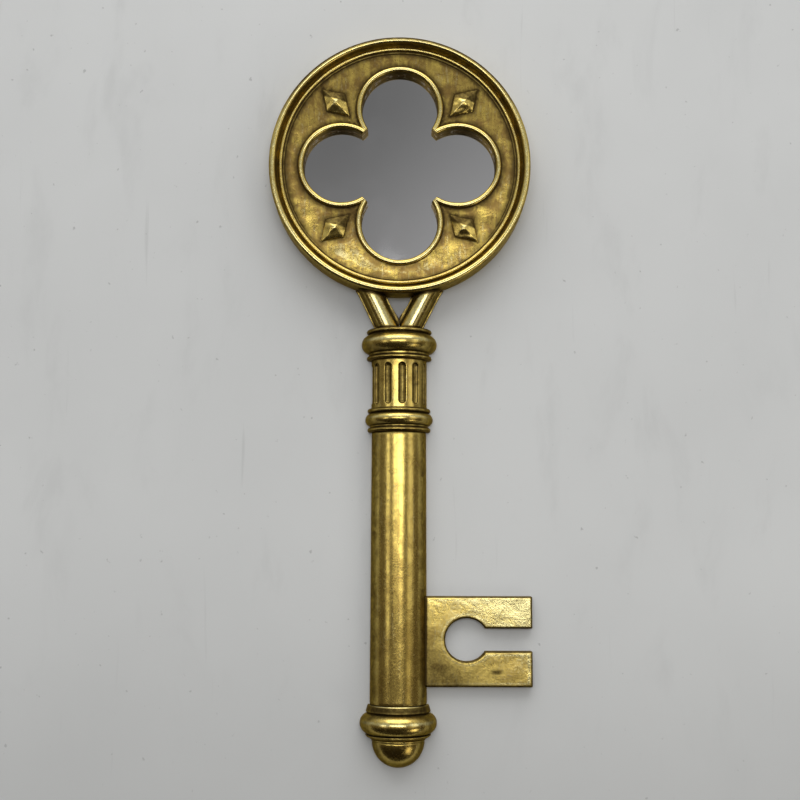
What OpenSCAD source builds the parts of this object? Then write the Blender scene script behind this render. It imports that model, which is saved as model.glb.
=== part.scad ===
// Decorative wall key: a gilded, flat-backed key with a quatrefoil mirror in its bow.
// The flat back lies on the wall plane Y = 0, the front faces -Y and the key stands along Z.
// The origin is on the wall plane, at the hook that carries the raised hanging ring.

/* [Bow] */
// Outer radius of the round bow
bow_r = 110; // [108:0.5:113]
// Depth of the bow from the wall to the crest of its outer bead
bow_depth = 26; // [25:0.5:28]
// Radius of the outer bead's section
outer_bead_r = 2.8; // [2.4:0.1:3]
// Thickness of the bow's solid outer wall
rim_wall = 8; // [8:0.5:9]
// Width of the ledge that carries the plate
ledge_w = 12; // [11:0.5:13]
// Thickness of the ledge
ledge_t = 4.5; // [4.5:0.5:5.5]
// Depth of the open recess behind the ledge
recess_depth = 5.5; // [5.5:0.5:6]
// Thickness of the plate with the quatrefoil opening
plate_t = 8.6; // [8.4:0.1:9]
// Width of the inner bead ring that covers the plate's edge
inner_ring_w = 4.7; // [4:0.1:5.5]
// Height of the inner bead ring above the plate
inner_ring_h = 2.6; // [2.4:0.1:3]

/* [Quatrefoil] */
// Distance from the bow's centre to the centre of a lobe
lobe_offset = 49; // [48:0.1:49.5]
// Radius of a lobe of the opening
lobe_r = 32; // [31:0.1:32.5]
// Distance from the bow's centre to the blunt cusps
cusp_reach = 41.5; // [41:0.1:42.5]
// Width of the bead around the opening
foil_bead_w = 4.8; // [4.4:0.1:5]
// Height of that bead above the plate
foil_bead_h = 2.6; // [2.5:0.05:3]

/* [Studs] */
// Distance from the bow's centre to a stud's point
stud_centre_r = 76.5; // [75:0.5:78]
// Length of a diamond stud, along the bow's radius
stud_long = 33; // [28:0.5:34]
// Width of a diamond stud
stud_short = 21.5; // [18:0.5:23]
// Height of a stud's point above the plate
stud_h = 5; // [4:0.1:6]
// Height of a stud's upright edge
stud_edge_h = 1; // [0.6:0.1:1.5]

/* [Mirror and back] */
// Thickness of the mirror glass
mirror_t = 2; // [1.5:0.5:2]
// Thickness of the board behind the mirror
board_t = 2.5; // [2:0.5:2.5]
// Length of a turn button from its pivot to its tip
button_reach = 13; // [11:0.5:14]
// Width of a turn button
button_w = 8; // [7:0.5:9]
// Thickness of a turn button
button_t = 1.8; // [1.2:0.1:2]

/* [Hanger] */
// Wire radius of the hanging ring
ring_wire_r = 1.1; // [0.9:0.1:1.1]
// Half-width of the hanging ring to the middle of its wire
ring_half_w = 8.9; // [8:0.1:9]
// Straight length of the ring's legs
ring_leg = 1; // [0.6:0.1:1.2]
// Length of the hanger plate
hanger_w = 38; // [36:0.5:39]
// Thickness of the hanger plate
hanger_t = 1.2; // [1:0.1:1.2]
// Distance between the hanger plate's screws
hanger_screw_gap = 30; // [28:0.5:31]

/* [Neck and shank] */
// Distance from the bow's centre to the top of the upper collar
neck_top = 138; // [136:0.1:139.5]
// Lean of each arm from the key's long axis, in degrees
arm_lean = 26; // [24:0.1:27]
// Half-width of an arm's rounded body
arm_r = 8.4; // [7.5:0.1:8.8]
// Height of an arm's ridge above the wall
arm_h = 21; // [19:0.5:23]
// Width of the flat edge beside an arm's body
arm_edge_w = 1.8; // [1:0.1:2]
// Height of that flat edge
arm_edge_h = 5; // [3:0.5:7]
// Radius of the shank and of the fluted drum
shank_r = 23.2; // [22.5:0.05:23.5]
// Distance from the bow's centre to the lower end of the shank
shank_end = 447.4; // [440:0.1:455]
// Number of flutes on the drum, counted round a full circle
flute_count = 12; // [12]
// Turn of the fluted drum about the key's long axis, in degrees
flute_turn = 6.5; // [0:0.5:8]

/* [Bit] */
// Distance from the key's long axis to the bit's free edge
bit_reach = 110; // [100:0.1:111]
// Distance from the bow's centre to the top of the bit
bit_top = 359.7; // [350:0.1:365]
// Height of the bit along the key
bit_h = 73.5; // [70:0.1:75]
// Thickness of the bit
bit_t = 8; // [8:0.1:10]
// Distance from the key's long axis to the middle of the round notch
notch_x = 56; // [55:0.1:60]
// Radius of the round notch
notch_r = 17.6; // [16:0.1:19]
// Height of the slot from the notch to the free edge
slot_h = 18.4; // [15:0.1:20]
// Bevel along the bit's front edges
bit_bevel = 1.6; // [0.5:0.1:1.8]

/* [Back strap] */
// Width of the steel strap let into the back
strap_w = 20; // [16:0.5:20]
// Thickness of the strap
strap_t = 2.5; // [2:0.1:3]
// Depth of the strap's back below the wall plane
strap_sink = 0.5; // [0.3:0.1:0.6]

/* [Hidden] */

$fn = 96;
// Gap around a pin, dowel or screw in its hole
fit_gap = 0.05;
// Gap between faces that meet on a curve
seat_gap = 0.05;
// Overrun of a cutter past the face that it cuts
over = 1;

gold = [0.80, 0.66, 0.30];
dark_gold = [0.62, 0.50, 0.20];
light_gold = [0.90, 0.77, 0.40];
mirror_grey = [0.62, 0.64, 0.67];
board_brown = [0.48, 0.34, 0.22];
steel = [0.66, 0.67, 0.68];
beech = [0.80, 0.66, 0.47];

// Heights above the wall through the bow
ledge_front = recess_depth + ledge_t;
plate_front = ledge_front + plate_t;
bead_level = bow_depth - outer_bead_r;
bead_inset = 0.2;
bead_mid_r = bow_r - bead_inset - outer_bead_r;
channel_level = plate_front + 0.2;
rim_in_r = bow_r - rim_wall;
ledge_in_r = rim_in_r - ledge_w;
ledge_mid_r = rim_in_r - ledge_w / 2;
glass_r = ledge_in_r - 0.5;

// The ring's axis and the hook that the raised ring hangs from
eye_wall = 1.2;
eye_clear = 0.08;
eye_r = ring_wire_r + eye_clear + eye_wall;
eye_w = 14;
ring_y = ledge_in_r - 1.5;
ring_z = recess_depth - eye_r;
ring_corner_r = 1.8;
hook_r = 1.5;
hook_y = ring_y + ring_corner_r + ring_leg + ring_half_w - ring_wire_r - hook_r;
bow_z = -hook_y;
hanger_screw_y = ledge_mid_r - 0.5;
hanger_top_y = rim_in_r - 2.5;

// Screws
plate_screw_r = 1.5;
plate_screw_head_r = 3;
plate_screw_len = 11;
screw_tip_r = 0.4;
pan_screw_r = 1.5;
pan_screw_in = 4;
pan_head_r = 2.8;
pan_head_t = 1.5;
strap_screw_r = 1.75;
strap_screw_head_r = 3.3;
strap_screw_len = 14;
head_slope_h = 1.5;
slot_w = 0.8;
slot_deep = 0.7;
button_gap = 0.3;
button_head_gap = 0.1;
button_hole_clear = 0.08;

// Dowels
dowel_r = 3;
dowel_level = 9;
arm_dowel_in_rim = 7;
arm_dowel_in_collar = 10;
arm_dowel_in_arm = 9;
bit_dowel_r = 1.5;
bit_dowel_level = 5;
bit_dowel_spread = 41;
bit_dowel_in = 20;
bit_dowel_end = -4;
finial_dowel_in = 11;
peg_r = 2;
peg_len = 5;

// Distances down from the bow's centre along the turned parts
ring1_r = 1.9;
torus1_r = 8.3;
torus1_mid = neck_top + 2 * ring1_r + 0.3 + torus1_r;
ring2_r = 2.1;
ring2_mid = torus1_mid + torus1_r + 3.6;
drum_top = ring2_mid + ring2_r;
drum_len = 40.2;
ring3_r = 1.9;
ring3_mid = drum_top + drum_len + ring3_r;
torus2_r = 5.5;
torus2_mid = ring3_mid + ring3_r + torus2_r;
ring4_r = 2.1;
ring4_mid = torus2_mid + torus2_r + 3.1;
shank_top = ring4_mid + ring4_r;
flare_h = 5.6;
torus3_r = 8.8;
torus3_mid = shank_end + flare_h + 0.6 + torus3_r;
skirt_top = torus3_mid + torus3_r;
dome_mid = skirt_top + 5.6;
dome_r = 21.6;

// Flutes of the drum
flute_cut_r = 3.35;
flute_cut_at = shank_r + 0.85;
flute_inset = 2.7;

// The bit and its mortise
mortise_x = 14;
bit_mid = bit_top + bit_h / 2;
notch_rise = 1.4;

// The strap and its screws
strap_top = neck_top + 5;
strap_bottom = torus3_mid + torus3_r - 1;
strap_screw_at = [torus1_mid, (drum_top + drum_len / 2), torus2_mid,
    shank_top + 22, (shank_top + shank_end) / 2, shank_end - 10, torus3_mid];

// Angles of the parts set round the bow
diagonals = [45, 135, 225, 315];
plate_screw_angles = [for (i = [0:7]) 22.5 + 45 * i];

// The foot of an arm's centre line, measured from the bow's centre
arm_x = 22.1;
arm_y = -110;
arm_gap = 0.4;

// Puts a shape drawn face up, with its back at height 0, on the wall round the bow's centre
module on_wall() {
    translate([0, 0, bow_z])
        rotate([90, 0, 0])
            children();
}

// Turns a profile through the half circle in front of the wall
module half_turned() {
    translate([0, 0, bow_z])
        rotate_extrude(angle = 180, start = 180)
            children();
}

// A disc of the profile: a round moulding of radius r that reaches out to a given radius
module moulding(r, reach, down) {
    translate([reach - r, -down])
        circle(r);
}

// The solid middle of a turned profile, from one distance down to another
module core(r, from, to) {
    translate([0, -to])
        square([r, to - from]);
}

// The channel that the back strap lies in
module strap_channel() {
    translate([-strap_w / 2 - fit_gap, -strap_sink - strap_t - fit_gap, bow_z - dome_mid])
        cube([strap_w + 2 * fit_gap, strap_sink + strap_t + fit_gap + over, dome_mid - neck_top + over]);
}

// A screw with a sloping head, point up, the head's flat face at height 0
module sunk_screw(r, head_r, len, gap = 0) {
    cylinder(h = head_slope_h, r1 = head_r + gap, r2 = r + gap);
    cylinder(h = len - 2 * r, r = r + gap);
    translate([0, 0, len - 2 * r])
        cylinder(h = 2 * r + gap, r1 = r + gap, r2 = screw_tip_r + gap);
}

// The slot across a screw's head
module driver_slot(head_r) {
    translate([-head_r - over, -slot_w / 2, -over])
        cube([2 * head_r + 2 * over, slot_w, slot_deep + over]);
}

// A screw with a flat round head, point up, the underside of the head at height 0
module pan_screw(r, head_r, len) {
    difference() {
        union() {
            translate([0, 0, -pan_head_t])
                cylinder(h = pan_head_t, r = head_r);
            cylinder(h = len, r = r);
        }
        translate([0, 0, -pan_head_t])
            driver_slot(head_r);
    }
}

// A blind hole for a screw that rises from height 0
module pilot_hole(r, len) {
    translate([0, 0, -over])
        cylinder(h = len + over + fit_gap, r = r + fit_gap);
}

// The outline of the quatrefoil opening
module quatrefoil_outline() {
    for (a = [0, 90, 180, 270])
        rotate(a)
            translate([lobe_offset, 0])
                circle(lobe_r);
    rotate(45)
        square(2 * cusp_reach, center = true);
}

// One screw round the ledge, repeated at the plate's fixing angles
module at_plate_screws() {
    for (a = plate_screw_angles)
        rotate(a)
            translate([ledge_mid_r, 0, recess_depth])
                children();
}

// The pivots of the turn buttons on the back of the ledge
module at_button(a) {
    rotate(a)
        translate([ledge_mid_r, 0, recess_depth])
            children();
}

// The two screws of the hanger plate
module at_hanger_screws() {
    for (side = [-1, 1])
        translate([side * hanger_screw_gap / 2, hanger_screw_y, recess_depth])
            children();
}

// An arm's own frame: its centre line runs along y, and its back lies at height 0
module along_arm(side) {
    translate([side * arm_x, arm_y, 0])
        rotate(-side * arm_lean)
            children();
}

// The two dowels of an arm, at its upper end in the rim and at its lower end in the collar
module arm_dowel_pair(side, gap = 0) {
    collar_at = (-neck_top - arm_y) / cos(arm_lean);
    along_arm(side) {
        translate([0, 1 + arm_dowel_in_rim + gap, dowel_level])
            rotate([90, 0, 0])
                cylinder(h = arm_dowel_in_rim + arm_dowel_in_arm + 2 * gap, r = dowel_r + gap);
        translate([0, collar_at + arm_dowel_in_arm + gap, dowel_level])
            rotate([90, 0, 0])
                cylinder(h = arm_dowel_in_collar + arm_dowel_in_arm + 2 * gap, r = dowel_r + gap);
    }
}

// The screws of the back strap, points to the front
module at_strap_screws() {
    for (d = strap_screw_at)
        translate([0, -d, strap_sink])
            children();
}

// The two dowels between the shank and the bit
module bit_dowel_pair(gap = 0) {
    for (side = [-1, 1])
        translate([bit_dowel_end - gap, -bit_mid + side * bit_dowel_spread / 2, bit_dowel_level])
            rotate([0, 90, 0])
                cylinder(h = mortise_x - bit_dowel_end + bit_dowel_in + 2 * gap, r = bit_dowel_r + gap);
}

// The dowel between the end collar and the dome
module dome_dowel(gap = 0) {
    translate([0, -dome_mid - finial_dowel_in - gap, dowel_level])
        rotate([-90, 0, 0])
            cylinder(h = 2 * finial_dowel_in + 2 * gap, r = dowel_r + gap);
}

module bow_rim() {
    color(gold)
        on_wall()
            difference() {
                rotate_extrude()
                    union() {
                        polygon([[rim_in_r, 0], [bow_r - 1, 0], [bow_r, 1], [bow_r, bead_level - 1],
                            [bow_r - bead_inset, bead_level], [bead_mid_r - outer_bead_r, bead_level],
                            [rim_in_r, channel_level]]);
                        translate([bead_mid_r, bead_level])
                            circle(outer_bead_r);
                        translate([ledge_in_r, recess_depth])
                            square([ledge_w + over, ledge_t]);
                    }
                at_plate_screws()
                    sunk_screw(plate_screw_r, plate_screw_head_r, plate_screw_len, fit_gap);
                for (a = diagonals)
                    at_button(a)
                        pilot_hole(pan_screw_r, pan_screw_in);
                at_hanger_screws()
                    pilot_hole(pan_screw_r, pan_screw_in);
                for (side = [-1, 1])
                    arm_dowel_pair(side, fit_gap);
            }
}

module bow_plate() {
    color(dark_gold)
        on_wall()
            difference() {
                translate([0, 0, ledge_front])
                    cylinder(h = plate_t, r = rim_in_r - seat_gap);
                translate([0, 0, ledge_front - over])
                    linear_extrude(plate_t + 2 * over)
                        quatrefoil_outline();
                at_plate_screws()
                    cylinder(h = plate_screw_len + fit_gap, r = plate_screw_r + fit_gap);
                for (a = diagonals)
                    rotate(a)
                        translate([stud_centre_r, 0, plate_front - peg_len - fit_gap])
                            cylinder(h = peg_len + over, r = peg_r + fit_gap);
            }
}

module inner_bead_ring() {
    bead_r = 1.6;
    step_h = 0.8;
    out_r = rim_in_r - seat_gap;
    color(light_gold)
        on_wall()
            translate([0, 0, plate_front])
                rotate_extrude() {
                    translate([out_r - inner_ring_w, 0])
                        square([inner_ring_w, step_h]);
                    translate([out_r - 2 * bead_r, 0])
                        square([2 * bead_r, inner_ring_h - bead_r]);
                    intersection() {
                        translate([out_r - bead_r, inner_ring_h - bead_r])
                            circle(bead_r);
                        translate([out_r - 2 * bead_r, 0])
                            square([2 * bead_r, inner_ring_h + over]);
                    }
                }
}

module quatrefoil_bead() {
    far = 2 * bow_r;
    bead_r = foil_bead_w / 2;
    color(light_gold)
        on_wall()
            translate([0, 0, plate_front])
                difference() {
                    for (a = [0, 90, 180, 270])
                        rotate(a)
                            intersection() {
                                linear_extrude(bow_depth)
                                    polygon([[0, 0], [far, -far], [far, far]]);
                                translate([lobe_offset, 0, 0])
                                    rotate_extrude()
                                        intersection() {
                                            translate([lobe_r, 0])
                                                square([foil_bead_w, foil_bead_h + over]);
                                            translate([lobe_r + bead_r, foil_bead_h - bead_r])
                                                union() {
                                                    circle(bead_r);
                                                    translate([-bead_r, -bead_r])
                                                        square([foil_bead_w, bead_r]);
                                                }
                                        }
                            }
                    translate([0, 0, -over])
                        linear_extrude(foil_bead_h + 2 * over)
                            rotate(45)
                                square(2 * cusp_reach, center = true);
                }
}

// A bar with a sloping roof, whose crossing with its mirror image makes a diamond stud
module stud_roof() {
    half_w = stud_long * stud_short / (2 * sqrt(stud_long * stud_long + stud_short * stud_short));
    rotate([90, 0, 90])
        linear_extrude(2 * stud_long, center = true)
            polygon([[-half_w, 0], [half_w, 0], [half_w, stud_edge_h],
                [0, stud_h], [-half_w, stud_edge_h]]);
}

module stud(a) {
    slant = atan(stud_short / stud_long);
    color(light_gold)
        on_wall()
            rotate(a)
                translate([stud_centre_r, 0, plate_front]) {
                    intersection() {
                        rotate(slant)
                            stud_roof();
                        rotate(-slant)
                            stud_roof();
                    }
                    translate([0, 0, -peg_len])
                        cylinder(h = peg_len + stud_edge_h, r = peg_r);
                }
}

module mirror_glass() {
    color(mirror_grey)
        on_wall()
            translate([0, 0, ledge_front - mirror_t])
                cylinder(h = mirror_t, r = glass_r);
}

module backing_board() {
    color(board_brown)
        on_wall()
            translate([0, 0, ledge_front - mirror_t - board_t])
                cylinder(h = board_t, r = glass_r);
}

module plate_screws() {
    color(steel)
        on_wall()
            at_plate_screws()
                difference() {
                    sunk_screw(plate_screw_r, plate_screw_head_r, plate_screw_len);
                    driver_slot(plate_screw_head_r);
                }
}

module turn_button(a) {
    color(steel)
        on_wall()
            at_button(a)
                translate([0, 0, -button_gap - button_t])
                    linear_extrude(button_t)
                        difference() {
                            union() {
                                circle(button_w / 2);
                                translate([-button_reach + button_w / 2, -button_w / 2])
                                    square([button_reach - button_w / 2, button_w]);
                                translate([-button_reach + button_w / 2, 0])
                                    circle(button_w / 2);
                            }
                            circle(pan_screw_r + button_hole_clear);
                        }
}

module turn_button_screws() {
    drop = button_gap + button_t + button_head_gap;
    color(steel)
        on_wall()
            for (a = diagonals)
                at_button(a)
                    translate([0, 0, -drop])
                        pan_screw(pan_screw_r, pan_head_r, drop + pan_screw_in);
}

module hanger_plate() {
    color(steel)
        on_wall()
            difference() {
                union() {
                    translate([-hanger_w / 2, ledge_in_r, recess_depth - hanger_t])
                        cube([hanger_w, hanger_top_y - ledge_in_r, hanger_t]);
                    translate([-eye_w / 2, ring_y, recess_depth - hanger_t])
                        cube([eye_w, ledge_in_r - ring_y, hanger_t]);
                    translate([-eye_w / 2, ring_y, ring_z])
                        rotate([0, 90, 0])
                            cylinder(h = eye_w, r = eye_r);
                }
                translate([-eye_w / 2 - over, ring_y, ring_z])
                    rotate([0, 90, 0])
                        cylinder(h = eye_w + 2 * over, r = ring_wire_r + eye_clear);
                at_hanger_screws()
                    translate([0, 0, -hanger_t - over])
                        cylinder(h = hanger_t + 2 * over, r = pan_screw_r + fit_gap);
            }
}

module hanger_screws() {
    color(steel)
        on_wall()
            at_hanger_screws()
                translate([0, 0, -hanger_t])
                    pan_screw(pan_screw_r, pan_head_r, hanger_t + pan_screw_in);
}

module hanging_ring() {
    color(steel)
        on_wall()
            translate([0, ring_y, ring_z]) {
                translate([-ring_half_w + ring_corner_r, 0, 0])
                    rotate([0, 90, 0])
                        cylinder(h = 2 * ring_half_w - 2 * ring_corner_r, r = ring_wire_r);
                for (side = [0, 1])
                    mirror([side, 0, 0]) {
                        translate([ring_half_w - ring_corner_r, -ring_corner_r, 0])
                            rotate_extrude(angle = 90)
                                translate([ring_corner_r, 0])
                                    circle(ring_wire_r);
                        translate([ring_half_w, -ring_corner_r, 0])
                            rotate([90, 0, 0])
                                cylinder(h = ring_leg, r = ring_wire_r);
                    }
                translate([0, -ring_corner_r - ring_leg, 0])
                    rotate_extrude(angle = 180, start = 180)
                        translate([ring_half_w, 0])
                            circle(ring_wire_r);
            }
}

module arm(side) {
    body_level = arm_h - arm_r;
    color(gold)
        on_wall()
            difference() {
                along_arm(side)
                    rotate([90, 0, 0])
                        linear_extrude(90, center = true) {
                            translate([-arm_r - arm_edge_w, 0])
                                square([2 * arm_r + 2 * arm_edge_w, arm_edge_h]);
                            translate([-arm_r, 0])
                                square([2 * arm_r, body_level]);
                            translate([0, body_level])
                                circle(arm_r);
                        }
                translate([0, 0, -over])
                    cylinder(h = bow_depth + 2 * over, r = bow_r + seat_gap);
                translate([-bow_r, -neck_top - bow_r, -over])
                    cube([2 * bow_r, bow_r, bow_depth + 2 * over]);
                mirror([side > 0 ? 0 : 1, 0, 0])
                    translate([arm_gap / 2 - bow_r, -2 * bow_r, -over])
                        cube([bow_r, 2 * bow_r, bow_depth + 2 * over]);
                arm_dowel_pair(side, fit_gap);
            }
}

module arm_dowels() {
    color(beech)
        on_wall()
            for (side = [-1, 1])
                arm_dowel_pair(side);
}

module upper_collar() {
    color(gold)
        difference() {
            half_turned() {
                core(25.4, neck_top, drum_top);
                moulding(ring1_r, 27.3, neck_top + ring1_r);
                moulding(torus1_r, 31.6, torus1_mid);
                moulding(ring2_r, 27.3, ring2_mid);
            }
            strap_channel();
            on_wall() {
                at_strap_screws()
                    pilot_hole(strap_screw_r, strap_screw_len);
                for (side = [-1, 1])
                    arm_dowel_pair(side, fit_gap);
            }
        }
}

// A round-ended groove, drawn as a capsule that stands along the key
module flute_cutter() {
    straight = drum_len - 2 * flute_inset - 2 * flute_cut_r;
    rotate_extrude()
        intersection() {
            translate([0, -drum_len])
                square([flute_cut_r, 2 * drum_len]);
            union() {
                translate([0, straight / 2])
                    circle(flute_cut_r);
                translate([0, -straight / 2])
                    circle(flute_cut_r);
                translate([-flute_cut_r, -straight / 2])
                    square([2 * flute_cut_r, straight]);
            }
        }
}

module fluted_drum() {
    pitch = 360 / flute_count;
    color(gold)
        difference() {
            half_turned()
                core(shank_r, drum_top, drum_top + drum_len);
            for (i = [-3:2])
                rotate(-90 - flute_turn - i * pitch)
                    translate([flute_cut_at, 0, bow_z - drum_top - drum_len / 2])
                        flute_cutter();
            strap_channel();
            on_wall()
                at_strap_screws()
                    pilot_hole(strap_screw_r, strap_screw_len);
        }
}

module lower_collar() {
    color(gold)
        difference() {
            half_turned() {
                core(24.3, drum_top + drum_len, shank_top);
                moulding(ring3_r, 26.4, ring3_mid);
                moulding(torus2_r, 28.3, torus2_mid);
                moulding(ring4_r, 26.4, ring4_mid);
            }
            strap_channel();
            on_wall()
                at_strap_screws()
                    pilot_hole(strap_screw_r, strap_screw_len);
        }
}

module shank() {
    color(gold)
        difference() {
            half_turned()
                core(shank_r, shank_top, shank_end);
            strap_channel();
            on_wall() {
                at_strap_screws()
                    pilot_hole(strap_screw_r, strap_screw_len);
                translate([mortise_x, -bit_top - bit_h - fit_gap, -over])
                    cube([shank_r, bit_h + 2 * fit_gap, bit_t + fit_gap + over]);
                bit_dowel_pair(fit_gap);
            }
        }
}

module bit() {
    bevel_level = bit_t - bit_bevel;
    seat_x = mortise_x + fit_gap;
    color(gold)
        on_wall()
            translate([0, -bit_mid, 0])
                difference() {
                    intersection() {
                        rotate([90, 0, 0])
                            linear_extrude(bit_h, center = true)
                                polygon([[seat_x, 0], [bit_reach, 0], [bit_reach, bevel_level],
                                    [bit_reach - bit_bevel, bit_t], [seat_x, bit_t]]);
                        translate([seat_x, 0, 0])
                            rotate([90, 0, 90])
                                linear_extrude(bit_reach)
                                    polygon([[-bit_h / 2, 0], [bit_h / 2, 0],
                                        [bit_h / 2, bevel_level], [bit_h / 2 - bit_bevel, bit_t],
                                        [-bit_h / 2 + bit_bevel, bit_t], [-bit_h / 2, bevel_level]]);
                    }
                    translate([notch_x, notch_rise, -over])
                        cylinder(h = bit_t + 2 * over, r = notch_r);
                    translate([notch_x, notch_rise, bevel_level])
                        cylinder(h = bit_bevel + over, r1 = notch_r, r2 = notch_r + bit_bevel + over);
                    translate([notch_x, notch_rise - slot_h / 2, -over])
                        cube([bit_reach, slot_h, bit_t + 2 * over]);
                    translate([notch_x, notch_rise, 0])
                        rotate([90, 0, 90])
                            linear_extrude(bit_reach)
                                polygon([[-slot_h / 2, bevel_level], [slot_h / 2, bevel_level],
                                    [slot_h / 2 + bit_bevel + over, bit_t + over],
                                    [-slot_h / 2 - bit_bevel - over, bit_t + over]]);
                    translate([0, bit_mid, 0])
                        bit_dowel_pair(fit_gap);
                }
}

module bit_dowels() {
    color(beech)
        on_wall()
            bit_dowel_pair();
}

module end_collar() {
    color(gold)
        difference() {
            half_turned() {
                polygon([[0, -dome_mid], [21, -dome_mid], [21, -skirt_top - 3.8],
                    [22.2, -skirt_top - 3.6], [25.4, -skirt_top - 2.4], [26.9, -skirt_top - 0.8],
                    [26.9, -skirt_top], [25.2, -skirt_top + 0.3],
                    [25.2, -shank_end - flare_h - 0.3], [26.6, -shank_end - flare_h],
                    [26.6, -shank_end - flare_h + 0.6], [25.1, -shank_end], [0, -shank_end]]);
                moulding(torus3_r, 31.7, torus3_mid);
                moulding(1.1, 22.1, skirt_top + 4.5);
            }
            strap_channel();
            on_wall() {
                at_strap_screws()
                    pilot_hole(strap_screw_r, strap_screw_len);
                dome_dowel(fit_gap);
            }
        }
}

module finial_dome() {
    color(gold)
        difference() {
            half_turned()
                intersection() {
                    translate([0, -dome_mid])
                        circle(dome_r);
                    translate([0, -dome_mid - dome_r - over])
                        square([dome_r + over, dome_r + over]);
                }
            on_wall()
                dome_dowel(fit_gap);
        }
}

module finial_dowel() {
    color(beech)
        on_wall()
            dome_dowel();
}

module back_strap() {
    color(steel)
        on_wall()
            difference() {
                translate([0, 0, strap_sink])
                    linear_extrude(strap_t)
                        difference() {
                            translate([-strap_w / 2, -strap_bottom])
                                square([strap_w, strap_bottom - strap_top]);
                            for (d = strap_screw_at)
                                translate([0, -d])
                                    circle(strap_screw_r + fit_gap);
                        }
                at_strap_screws()
                    translate([0, 0, -fit_gap])
                        cylinder(h = head_slope_h + fit_gap, r1 = strap_screw_head_r + fit_gap,
                            r2 = strap_screw_r + fit_gap);
            }
}

module strap_screws() {
    color(steel)
        on_wall()
            at_strap_screws()
                difference() {
                    sunk_screw(strap_screw_r, strap_screw_head_r, strap_screw_len);
                    driver_slot(strap_screw_head_r);
                }
}

bow_rim();
bow_plate();
inner_bead_ring();
quatrefoil_bead();
stud(45);  // stud_upper_right
stud(135);  // stud_upper_left
stud(225);  // stud_lower_left
stud(315);  // stud_lower_right
mirror_glass();
backing_board();
plate_screws();
turn_button(45);  // turn_button_upper_right
turn_button(135);  // turn_button_upper_left
turn_button(225);  // turn_button_lower_left
turn_button(315);  // turn_button_lower_right
turn_button_screws();
hanger_plate();
hanger_screws();
hanging_ring();
arm(-1);  // left_arm
arm(1);  // right_arm
arm_dowels();
upper_collar();
fluted_drum();
lower_collar();
shank();
bit();
bit_dowels();
end_collar();
finial_dome();
finial_dowel();
back_strap();
strap_screws();
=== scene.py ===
import math

import bmesh
import bpy
import numpy as np
from bpy.props import FloatProperty, FloatVectorProperty, PointerProperty
from mathutils import Matrix, Vector, noise
from mathutils.geometry import delaunay_2d_cdt


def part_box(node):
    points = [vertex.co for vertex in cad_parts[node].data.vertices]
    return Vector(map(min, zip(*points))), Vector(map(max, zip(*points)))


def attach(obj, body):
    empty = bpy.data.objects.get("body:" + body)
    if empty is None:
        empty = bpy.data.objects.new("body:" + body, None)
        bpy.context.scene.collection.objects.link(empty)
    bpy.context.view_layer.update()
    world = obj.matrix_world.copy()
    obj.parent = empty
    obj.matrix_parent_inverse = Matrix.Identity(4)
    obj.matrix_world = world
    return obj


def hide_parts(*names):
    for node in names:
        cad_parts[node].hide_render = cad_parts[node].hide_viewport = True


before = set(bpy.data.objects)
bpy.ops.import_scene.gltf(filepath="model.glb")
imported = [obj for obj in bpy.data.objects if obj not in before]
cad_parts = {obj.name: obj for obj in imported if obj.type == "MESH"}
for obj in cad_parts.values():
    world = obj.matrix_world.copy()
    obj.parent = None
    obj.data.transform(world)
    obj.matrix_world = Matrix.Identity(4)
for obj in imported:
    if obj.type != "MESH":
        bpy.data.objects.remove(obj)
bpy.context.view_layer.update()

bl_info = {
    "name": "Decorative wall key",
    "version": (1, 0, 0),
    "blender": (4, 5, 0),
    "location": "View3D > Sidebar > Wall key",
    "description": "Dresses the packed wall key as gilded, patinated wood hanging on a pale wall",
    "category": "Object",
}

MM = 0.001
BODY = "key"


def node_box(node):
    """The lowest and highest corner of a CAD node, in millimetres."""
    low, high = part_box(node)
    return np.array(low) / MM, np.array(high) / MM


def radius_of(node):
    """Half the width of a CAD node, in metres."""
    low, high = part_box(node)
    return (high[0] - low[0]) / 2


def front_of(node):
    """How far a CAD node stands out from the wall, in metres."""
    return -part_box(node)[0][1]


RIM_LOW, RIM_HIGH = node_box("bow_rim")
# Height of the bow's centre on the wall, in millimetres
BOW_UP = (RIM_LOW[2] + RIM_HIGH[2]) / 2


def down_to(node):
    """Distances from the bow's centre down to the top and the bottom of a CAD node, in millimetres."""
    low, high = node_box(node)
    return BOW_UP - high[2], BOW_UP - low[2]


# Sizes and colours that a user may change

def length(name, description, default, low=0.0001, high=1.0):
    """A property for a length in metres."""
    return FloatProperty(name=name, description=description, default=default, min=low, max=high,
                         unit="LENGTH", subtype="DISTANCE", precision=5)


def share(name, description, default, low=0.0, high=1.0):
    """A property for an amount without a unit."""
    return FloatProperty(name=name, description=description, default=default, min=low, max=high,
                         subtype="FACTOR")


def colour(name, description, default):
    """A property for a colour."""
    return FloatVectorProperty(name=name, description=description, default=default, min=0.0, max=1.0,
                               size=3, subtype="COLOR")


def angle(name, description, degrees):
    """A property for an angle, its default given in degrees."""
    return FloatProperty(name=name, description=description, default=math.radians(degrees),
                         subtype="ANGLE", unit="ROTATION")


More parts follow.
